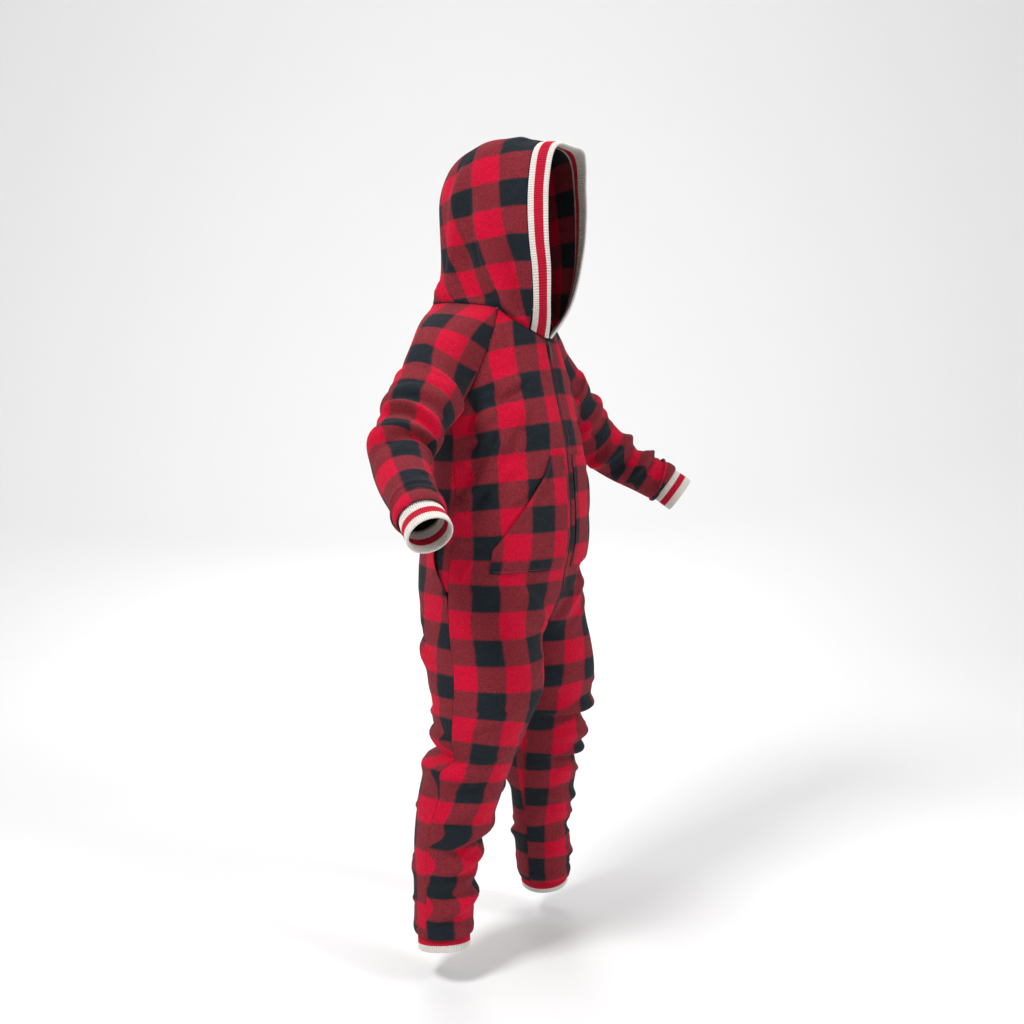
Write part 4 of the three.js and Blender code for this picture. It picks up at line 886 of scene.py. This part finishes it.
def cuff(name, low, high, radius_low, radius_high, ribs, tuck, seed):
    """Folded rib cuff: a fine-ribbed tube that turns over its hem and runs back inside."""
    low, high = np.array(low, float), np.array(high, float)
    ahead = unit(high - low)
    across = unit(np.cross(ahead, [0, 1, 0]))
    count = np.arange(ribs * PER_RIB)
    turn = 2 * np.pi * count / len(count)
    ring = circle(len(count), across, np.cross(across, ahead))
    long = np.linalg.norm(high - low)
    # millimetres up from the hem and radius against the outer face
    profile = np.array([
        [long, 0.1], [long * 0.86, 0.35], [long * 0.7, 0.5], [long * 0.5, 0.55],
        [long * 0.3, 0.45], [long * 0.14, 0.3], [3.2, 0.15], [1.5, -0.1], [0.5, -0.5],
        [0, -1.3], [0.4, -2.2], [1.6, -2.7], [4, -2.9], [long * 0.3, -2.8], [long * 0.5, -2.6],
        [long * 0.7, -2.5], [long * 0.86, -2.3], [long, -2.2]])
    outside = np.where(np.arange(len(profile)) < 9, 1, -1)
    up, out = profile.T
    share = up / long
    radius = radius_low + (radius_high - radius_low) * share + out - tuck * smooth(0.6, 1, share)
    rib = 0.55 * np.cos(2 * np.pi * count / PER_RIB) * outside[:, None]
    sag = 0.6 * np.sin(2 * turn + seed) + 0.4 * np.sin(3 * turn + 2 * seed)
    away = radius[:, None] + rib + 0.35 * sag * (up > 4)[:, None]
    p = low + ahead * up[:, None, None] + ring * away[..., None]
    uv = np.stack(np.broadcast_arrays((share * outside)[:, None], count / PER_RIB), -1)
    rows, cols = p.shape[:2]
    top, last = np.arange(cols), (rows - 1) * cols
    lid = np.stack([top, last + top, last + np.roll(top, -1), np.roll(top, -1)], -1)
    return closed_form(name, p, np.vstack([grid_faces(rows, cols, closed=True), lid]), uv)


def zip_line(h):
    """Centre line of the closed zip: points, the way along it and the way out."""
    h = np.asarray(h, float)
    point = ring_point(LEFT, h, 0) * np.array([0, 1, 1])
    along = unit(ring_point(LEFT, h + 3, 0) - ring_point(LEFT, h - 3, 0))
    out = unit(stack(0, -along[..., 2], along[..., 1]))
    return point, along, out


def many(name, template, faces, at, x_axis, y_axis, z_axis):
    """Copies of a small form in one mesh, one at each point, turned to the axes given for it."""
    points = (at[:, None] + template[None, :, :1] * x_axis[:, None]
              + template[None, :, 1:2] * y_axis[:, None] + template[None, :, 2:] * z_axis[:, None])
    more = np.arange(len(at))[:, None, None] * len(template)
    return mesh_object(name, points.reshape(-1, 3), (faces[None] + more).reshape(-1, 4))


def capsule(half_long, half_wide, half_high):
    """Small rounded bar along x, as rings of six points closed at both ends."""
    spots = np.array([-1, -0.93, -0.7, 0.7, 0.93, 1.0])
    size = np.array([0.25, 0.7, 1, 1, 0.7, 0.25])
    turn = np.linspace(0, 2 * np.pi, 6, endpoint=False)
    rings = np.stack(np.broadcast_arrays(
        (spots * half_long)[:, None], half_wide * size[:, None] * np.cos(turn),
        half_high * size[:, None] * np.sin(turn)), -1)
    faces = grid_faces(6, 6, closed=True)
    ends = np.array([[0, 1, 2, 3], [0, 3, 4, 5], [33, 32, 31, 30], [35, 34, 33, 30]])
    return rings.reshape(-1, 3), np.vstack([faces[:, ::-1], ends[:, ::-1]])


def zip_teeth():
    """Closed coil chain: pairs of small bars that meet on the centre line, one every 1.3 mm."""
    point, along, out = zip_line(np.arange(ZIP_BOTTOM + 2, ZIP_TOP - 1, 1.3))
    side = np.where(np.arange(len(point)) % 2 == 0, 1.0, -1.0)[:, None]
    across = stack(np.ones(len(point)), 0, 0)
    at = point + across * side + out * 0.1
    return many("zip_teeth", *capsule(1.55, 0.52, 0.75), at, across, along, out)


def zip_strips():
    """Two woven strips of the zip's tape, folded up beside the chain under the fleece."""
    point, _, out = zip_line(np.linspace(ZIP_BOTTOM, ZIP_TOP, 130))
    section = np.array([
        [0.25, -1.3], [2.2, -1.5], [3.2, -3.3], [10.5, -3.4], [10.5, -4.1], [3.0, -4.0],
        [1.9, -2.6], [0.25, -2.4]])
    rows, cols = len(point), len(section)
    lids = np.array([[0, 1, 6, 7], [1, 2, 5, 6], [2, 3, 4, 5]])
    form = np.vstack([grid_faces(rows, cols, closed=True), lids,
                      lids[:, ::-1] + (rows - 1) * cols])
    pieces, faces = [], []
    for k, side in enumerate((RIGHT, LEFT)):
        x = side * section[None, :, :1]
        p = point[:, None] + x * np.array([1, 0, 0]) + out[:, None] * section[None, :, 1:]
        pieces.append(p.reshape(-1, 3))
        faces.append(outward(pieces[k], form) + k * rows * cols)
    return mesh_object("zip_tape_strips", np.vstack(pieces), np.vstack(faces), smooth_faces=False)


def stitches(name, path, n):
    """Row of short stitches that lie on the cloth along a path."""
    long, pitch, sink = 2.3, 3.1, 0.05
    length = arcs(path[:, None], 0)[:, 0]
    spots = np.arange(pitch, length[-1] - pitch / 2, pitch)
    at, normal, ahead = (
        np.stack([np.interp(spots, length, values[:, k]) for k in range(3)], -1)
        for values in (path, n, np.gradient(path, axis=0)))
    normal, ahead = unit(normal), unit(ahead)
    across = unit(np.cross(normal, ahead))
    form, faces = capsule(long / 2, 0.27, 0.2)
    return many(name, form, faces, at - normal * sink, ahead, across, np.cross(ahead, across))


def prism(name, outline, half_wide, bevel):
    """Small metal form at the slider: an outline along and out from the zip, with a width."""
    point, along, out = zip_line([SLIDER])
    shape = np.array(outline, float)
    flat = point + shape[:, :1] * along + shape[:, 1:] * out
    points = np.vstack([flat + np.array([x, 0, 0]) for x in (-half_wide, half_wide)])
    count = len(shape)
    walls = [(k, (k + 1) % count, count + (k + 1) % count, count + k) for k in range(count)]
    lids = [tuple(range(count))[::-1], tuple(range(count, 2 * count))]
    mesh = bpy.data.meshes.new(name)
    mesh.from_pydata(in_frame(points).tolist(), [], [*lids, *walls])
    made = add_object(name, mesh)
    soften = made.modifiers.new("edges", "BEVEL")
    soften.width, soften.segments, soften.limit_method = bevel * MM, 3, "ANGLE"
    return made


def button(side, name):
    """Button with a raised rim, turned from a profile, on the corner of the flap: the piece,
    its middle, and the ways across, up and out of it."""
    h, u = np.array([FLAP_TOP - 16.0]), np.array([0.66])
    p, n = body_point(side, h, u, flap_lift(h, u), 0.0)
    at, n = p[0], n[0]
    across = unit(np.cross(n, [0, 0, 1.0]))
    up = np.cross(across, n)
    profile = np.array([
        [0.01, 1.7], [4.6, 1.7], [5.2, 1.9], [5.9, 2.7], [6.7, 3.0], [7.5, 2.8], [8.0, 2.0],
        [7.9, 1.3], [7.2, 0.75], [4, 0.6], [0.01, 0.6]])
    points = at + profile[:, None, :1] * circle(48, across, up) + profile[:, None, 1:] * n
    made = closed_form(name, points, grid_faces(len(profile), 48, closed=True))
    return made, at, across, up, n


def drill(made, at, across, up, n):
    """Cuts a button's four thread holes right through it."""
    count, radius, spread_out = 16, 0.95, (-HOLE_SPOT, HOLE_SPOT)
    ring = radius * circle(count, across, up)
    centres = [at + across * dx + up * dy for dy in spread_out for dx in spread_out]
    points = np.vstack([centre + ring + n * rise for centre in centres for rise in (0.2, 3.6)])
    starts = range(0, len(points), 2 * count)
    walls = grid_faces(2, count, closed=True)[:, ::-1]
    faces = [tuple(int(v) + start for v in face) for start in starts for face in walls]
    for start in starts:
        faces.append(tuple(range(start, start + count)))
        faces.append(tuple(range(start + 2 * count - 1, start + count - 1, -1)))
    mesh = bpy.data.meshes.new("holes")
    mesh.from_pydata(in_frame(points).tolist(), [], faces)
    holes = add_object("holes", mesh)
    cut = made.modifiers.new("holes", "BOOLEAN")
    cut.operation, cut.object, cut.solver = "DIFFERENCE", holes, "EXACT"
    bpy.context.view_layer.update()
    drilled = made.evaluated_get(bpy.context.evaluated_depsgraph_get())
    mesh = bpy.data.meshes.new_from_object(drilled)
    made.modifiers.clear()
    made.data = mesh
    bpy.data.objects.remove(holes)


class Nodes:
    """Short way to add shader nodes, set their plain values and join them."""

    def __init__(self, name):
        """New material with its main shader at hand."""
        self.material = bpy.data.materials.new(name)
        self.material.use_nodes = True
        self.tree = self.material.node_tree
        self.shader = self.tree.nodes["Principled BSDF"]

    def add(self, kind, inputs=(), **settings):
        """Node of a kind, with its settings and its inputs given or joined."""
        node = self.tree.nodes.new("ShaderNode" + kind)
        for key, value in settings.items():
            setattr(node, key, value)
        for key, value in dict(inputs).items():
            self.put(node.inputs[key], value)
        return node

    def put(self, socket, value):
        """Joins a socket to an input, or gives the input a plain value."""
        if isinstance(value, bpy.types.NodeSocket):
            self.tree.links.new(value, socket)
        else:
            socket.default_value = value

    def maths(self, operation, a, b=0.0, clamp=False):
        """One sum, product or other operation of two values."""
        node = self.add("Math", {0: a, 1: b}, operation=operation, use_clamp=clamp)
        return node.outputs[0]

    def mix(self, share, a, b):
        """Colour a turned into b by the share."""
        node = self.add("Mix", data_type="RGBA")
        for socket, value in zip((node.inputs[0], node.inputs[6], node.inputs[7]), (share, a, b)):
            self.put(socket, value)
        return node.outputs[2]

    def noise(self, place, scale, detail=2.0, rough=0.5):
        """Cloudy noise from 0 to 1 at a scale per metre."""
        node = self.add("TexNoise", {"Vector": place, "Scale": scale, "Detail": detail,
                                     "Roughness": rough})
        return node.outputs[0]

    def step(self, value, low, high, out_low=0.0, out_high=1.0):
        """Value stretched so that low to high becomes out_low to out_high, and held beyond
        them."""
        node = self.add("MapRange", {0: value, 1: low, 2: high, 3: out_low, 4: out_high})
        return node.outputs[0]

    def bump(self, height, distance, strength=1.0):
        """Shades the surface as if a height stood out by the distance."""
        node = self.add("Bump", {"Height": height, "Distance": distance, "Strength": strength})
        self.put(self.shader.inputs["Normal"], node.outputs[0])

    def sheen(self, weight, roughness, tint):
        """Soft light of short hairs over the cloth, with a weak gloss."""
        for key, value in (("Sheen Weight", weight), ("Sheen Roughness", roughness),
                           ("Sheen Tint", tint), ("Specular IOR Level", 0.15)):
            self.put(self.shader.inputs[key], value)


# black: the dark end of the fleece's random grain, and the painted shade in the rib grooves
GRAIN_AND_RIB_SHADE = (0, 0, 0, 1)
RED = (0.74, 0.002, 0.040, 1)
WORN_RED = (0.6, 0.01, 0.035, 1)
DEEP_RED = (0.40, 0.028, 0.042, 1)
WINE = (0.14, 0.02, 0.03, 1)
BLACK = (0.013, 0.020, 0.027, 1)
LINT = (0.075, 0.085, 0.095, 1)
CREAM = (0.70, 0.67, 0.63, 1)
WORN_CREAM = (0.6, 0.56, 0.51, 1)
STRIPE_RED = (0.44, 0.003, 0.024, 1)
JET = (0.03, 0.03, 0.034, 1)


def check_fleece():
    """Brushed fleece in a red and black check: black bands from the print's own map, mottled
    where one band crosses red, soft at the edges, with a short uneven nap."""
    m = Nodes("check_fleece")
    place = m.add("TexCoord").outputs["Object"]
    flat = m.add("SeparateXYZ", {0: m.add("UVMap", uv_map="print").outputs[0]})
    wander = m.step(m.noise(place, 260.0, 3.0), 0.0, 1.0, -0.012, 0.012)
    bands = []
    for axis in (0, 1):
        value = m.maths("ADD", flat.outputs[axis], wander)
        wave = m.maths("SINE", m.maths("MULTIPLY", value, 2 * np.pi))
        bands.append(m.step(wave, -0.14, 0.14))
    both = m.maths("MULTIPLY", bands[0], bands[1])
    either = m.maths("MAXIMUM", bands[0], bands[1])
    speck = m.step(m.noise(place, 620.0, 4.0, 0.7), 0.38, 0.62)
    mottled = m.mix(speck, WINE, DEEP_RED)
    lint = m.step(m.noise(place, 900.0, 2.0, 0.6), 0.58, 0.74, 0.0, 0.35)
    dark = m.mix(lint, BLACK, LINT)
    faded = m.step(m.noise(place, 420.0, 3.0, 0.6), 0.35, 0.7, 0.0, 0.3)
    warm = m.mix(faded, RED, WORN_RED)
    colour = m.mix(both, m.mix(either, warm, mottled), dark)
    grain = m.step(m.noise(place, 380.0, 5.0, 0.75), 0.3, 0.7, 0.5, 1.0)
    colour = m.mix(grain, GRAIN_AND_RIB_SHADE, colour)
    m.put(m.shader.inputs["Base Color"], colour)
    m.put(m.shader.inputs["Roughness"], 0.95)
    m.sheen(0.05, 0.4, (1.0, 0.8, 0.82, 1))
    nap = m.maths("ADD", m.noise(place, 420.0, 6.0, 0.8),
                  m.maths("MULTIPLY", m.noise(place, 110.0, 3.0, 0.6), 1.5))
    m.bump(nap, 0.0022, 1.0)
    return m.material


def striped_rib(name, edges):
    """Knitted rib: cream with red bands between the given pairs of places on its map."""
    m = Nodes(name)
    place = m.add("TexCoord").outputs["Object"]
    flat = m.add("SeparateXYZ", {0: m.add("UVMap", uv_map="print").outputs[0]})
    wander = m.step(m.noise(place, 500.0, 2.0), 0.0, 1.0, -0.01, 0.01)
    value = m.maths("ADD", flat.outputs[0], wander)
    red = 0.0
    for low, high in edges:
        band = m.maths("MULTIPLY", m.step(value, low - 0.012, low + 0.012),
                       m.step(value, high - 0.012, high + 0.012, 1.0, 0.0))
        red = m.maths("ADD", red, band, True)
    cream = m.mix(m.step(m.noise(place, 600.0, 3.0), 0.3, 0.75), CREAM, WORN_CREAM)
    # painted shade: darker in the grooves between the ribs, full colour on their crests
    turn = m.maths("MULTIPLY", m.maths("ADD", flat.outputs[1], 0.25), 2 * np.pi)
    shade = m.step(m.maths("SINE", turn), -1.0, 0.2, 0.74, 1.0)
    striped = m.mix(red, cream, STRIPE_RED)
    m.put(m.shader.inputs["Base Color"], m.mix(shade, GRAIN_AND_RIB_SHADE, striped))
    m.put(m.shader.inputs["Roughness"], 0.9)
    m.sheen(0.1, 0.5, (1, 1, 1, 1))
    m.bump(m.noise(place, 1100.0, 3.0, 0.6), 0.0005, 0.6)
    return m.material


def plain(name, colour, roughness, metallic=0.0, grain=0.0, coat=0.0):
    """Material of one colour, with a fine grain where one is given."""
    m = Nodes(name)
    for key, value in (("Base Color", colour), ("Roughness", roughness),
                       ("Metallic", metallic), ("Coat Weight", coat)):
        m.put(m.shader.inputs[key], value)
    if grain:
        place = m.add("TexCoord").outputs["Object"]
        m.bump(m.noise(place, 900.0, 3.0, 0.6), grain, 0.5)
    return m.material


def dress(made, material, slot, *nodes, body="garment"):
    """Gives a piece its material and body and hides the frame nodes it stands for; slot is not
    used.
    """
    made.data.materials.clear()
    made.data.materials.append(material)
    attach(made, body)
    if nodes:
        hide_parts(*nodes)
    return made


fleece = check_fleece()
band_rib = striped_rib("hood_band_rib", ((0.31, 0.77), (1.58, 1.86)))
wrist_rib = striped_rib("wrist_rib", ((0.29, 0.56), (-0.6, -0.32)))
ankle_rib = striped_rib("ankle_rib", ((0.27, 1.2), (-1.2, -0.27)))
thread = plain("red_thread", (0.42, 0.02, 0.035, 1), 0.8)
dark_thread = plain("black_thread", (0.03, 0.03, 0.035, 1), 0.8)
chain = plain("zip_chain", (0.028, 0.026, 0.03, 1), 0.42)
tape = plain("zip_tape", JET, 0.85, grain=0.0004)
enamel = plain("zip_metal", JET, 0.32, 0.3, coat=0.3)
plastic = plain("button_plastic", JET, 0.3, coat=0.2)


def both(part, make):
    """A part's right and left panels by node."""
    nodes = ["%s_%s" % (part, word) for _, word in SIDES]
    return {node: make(side, node + "_cloth") for (side, _), node in zip(SIDES, nodes)}


panels = {**both("front", front_panel), **both("seat_leg", seat_panel),
          "back_yoke": back_yoke("back_yoke_cloth"), **both("sleeve", sleeve),
          **both("hood", hood), **both("pocket", pocket)}
for node, made in panels.items():
    dress(made, fleece, "check_fleece", node)

band = dress(hood_band(), band_rib, "striped_rib", "hood_band")
for side, word in SIDES:
    flip = np.array([side, 1, 1])
    centre, inside = arm_frame(side, np.array([0.0, 0.05]))[0]
    top = centre + unit(inside - centre) * 7
    cx, cy = spline(LEG[side], np.array([ANKLE_TOP]))[0, :2]
    foot = ANKLE_END * flip - [0, 0, ANKLE_DROP[side]]
    for node, rib, *form in (
            ("wrist_cuff_" + word, wrist_rib, CUFF_END * flip, top, 36.5, 34.7, 64, 0.6,
             1.0 + side),
            ("ankle_cuff_" + word, ankle_rib, foot, [side * cx, cy, ANKLE_TOP], 46, 45.2, 80, 0.4,
             2.0 + side)):
        dress(cuff(node + "_rib", *form), rib, "striped_rib", node)

strips = dress(zip_strips(), tape, "zip_chain", "zip_tape")
teeth = dress(zip_teeth(), chain, "zip_chain")

plate = prism("zip_slider_plate", [[-6, 0.9], [-6, 2.0], [-2, 2.2], [6, 2.2], [6, 0.9]], 4.2, 0.5)
bridge = prism("zip_slider_bridge", [
    [-3.6, 2.1], [-3.4, 3.2], [-2, 3.6], [3.6, 3.6], [4.6, 3.1], [5, 2.1], [3.8, 2.1], [3.4, 2.8],
    [-2, 2.8], [-2.4, 2.1]], 1.3, 0.25)
pull = prism("zip_pull_tab", [
    [0, 3.9], [0, 5.0], [-2, 5.3], [-24, 4.5], [-27, 4.0], [-27, 3.1], [-24, 2.9], [-3.5, 3.6]],
    3.0, 0.6)
dress(plate, enamel, "zip_metal", "zip_slider")
dress(bridge, enamel, "zip_metal")
dress(pull, enamel, "zip_metal", "zip_pull", body="pull")

# rows of stitches by the node they are sewn on
rows = {}
for side, word in SIDES:
    slant = np.linspace(POCKET_CORNER + 3, POCKET_TOP - 3, 120)
    upright = np.linspace(POCKET_BOTTOM + 4, POCKET_TOP - 3, 120)
    flap = np.linspace(640, FLAP_TOP - 4, 100)
    for part, name, h, u, lift in (
            ("pocket", "slant", slant, pocket_edge(slant) - 0.012, pocket_lift),
            ("pocket", "pocket_foot", POCKET_BOTTOM + 4, np.linspace(0.03, 0.325, 90),
             pocket_lift),
            ("pocket", "pocket_front", upright, 0.028, pocket_lift),
            ("front", "zip", np.linspace(ZIP_BOTTOM, ZIP_TOP + 1, 300), 8.5 / 500, None),
            ("seat_leg", "flap_side", flap, flap_edge(flap) + 0.04, flap_lift),
            ("seat_leg", "flap_top", FLAP_TOP - 28, np.linspace(0.565, 0.999, 160), flap_lift)):
        h, u = np.broadcast_arrays(h, u)
        p, n = body_point(side, h, u, lift(h, u) if lift else 0.0)
        row = dress(stitches("stitch_%s_%s" % (name, word), p, n), thread, "check_fleece")
        rows.setdefault("%s_%s" % (part, word), []).append(row)

for side, word in SIDES:
    made, at, across, up, n = button(side, "seat_button_%s_disc" % word)
    drill(made, at, across, up, n)
    dress(made, plastic, "buttons", "seat_button_" + word)
    spots = np.array([at + up * d + n * 2.05 for d in (-HOLE_SPOT, HOLE_SPOT)])
    ones = np.ones((2, 1))
    knots = many("button_thread_" + word, *capsule(2.4, 0.5, 0.35), spots, across * ones,
                 up * ones, n * ones)
    dress(knots, dark_thread, "buttons")

bpy.context.view_layer.update()

# floor that sweeps up all round, far outside the camera: radius and height in metres
flat_to, bend, above = 3.2, 4, (4.6, 5.4)
profile = [(r, 0.0) for r in np.linspace(0.0, flat_to, 9)]
profile += [(flat_to + bend * np.sin(a), bend - bend * np.cos(a))
            for a in np.linspace(0.06, np.pi / 2, 24)]
profile += [(flat_to + bend, z) for z in above]
reach, rise = np.array(profile).T
ring = circle(96, np.array([1.0, 0, 0]), np.array([0, 1.0, 0]))
sweep = (reach[:, None, None] * ring + stack(0, 0, rise)[:, None]) / MM
sweep = sweep + np.array([0, 0, FLOOR / MM + HEM_TO_SHOULDER])
floor = mesh_object("floor", sweep.reshape(-1, 3), grid_faces(len(profile), 96, closed=True))
floor.data.materials.append(plain("pale_floor", (0.8, 0.8, 0.8, 1), 0.9))

world = bpy.data.worlds.new("studio")
world.use_nodes = True
background = world.node_tree.nodes["Background"]
background.inputs["Color"].default_value = (1, 1, 1, 1)
background.inputs["Strength"].default_value = 0.4
bpy.context.scene.world = world


def seat(made, right, up, back, place):
    """Turns an object to the given x, y and z axes and puts it in its place."""
    turn = Matrix(np.stack([right, up, back], axis=1).tolist()).to_4x4()
    turn.translation = place
    made.matrix_world = turn


def lamp(name, place, power, size, aim=(0, -0.05, -0.4)):
    """Soft square light that faces the middle of the garment, or the place given."""
    data = bpy.data.lights.new(name, "AREA")
    data.energy, data.size = power, size
    back = unit(np.array(place, float) - np.array(aim))
    right = unit(np.cross([0, 0, 1.0], back))
    seat(add_object(name, data), right, np.cross(back, right), back, place)


lamp("key_light", (-2.7, 0.3, 2.6), 130, 0.9)
lamp("fill_light", (0.2, -3.4, 1.8), 62, 1.2)
lamp("top_light", (0.4, 0.2, 3.0), 34, 1.2)
lamp("back_light", (2.6, 2.4, 1.2), 34, 1.6)
lamp("backdrop_light", (2.1, 1.5, 2.7), 95, 1.6, (5.3, 3.7, 1.0))

# camera at the photo's angle: turned by the azimuth, tipped down by the pitch
turn, tip, half_view = np.radians([-56.0338, 5.8204, 22.5])
right = np.array([np.cos(turn), np.sin(turn), 0])
back = np.array([np.sin(turn) * np.cos(tip), -np.cos(turn) * np.cos(tip), np.sin(tip)])
lens = bpy.data.cameras.new("camera")
lens.sensor_width, lens.lens = 36.0, 18 / np.tan(half_view)
camera = add_object("camera", lens)
seat(camera, right, np.cross(back, right), back, (-1.858155, -1.285122, -0.110907))
bpy.context.scene.camera = camera
bpy.context.scene.view_settings.view_transform = "Standard"
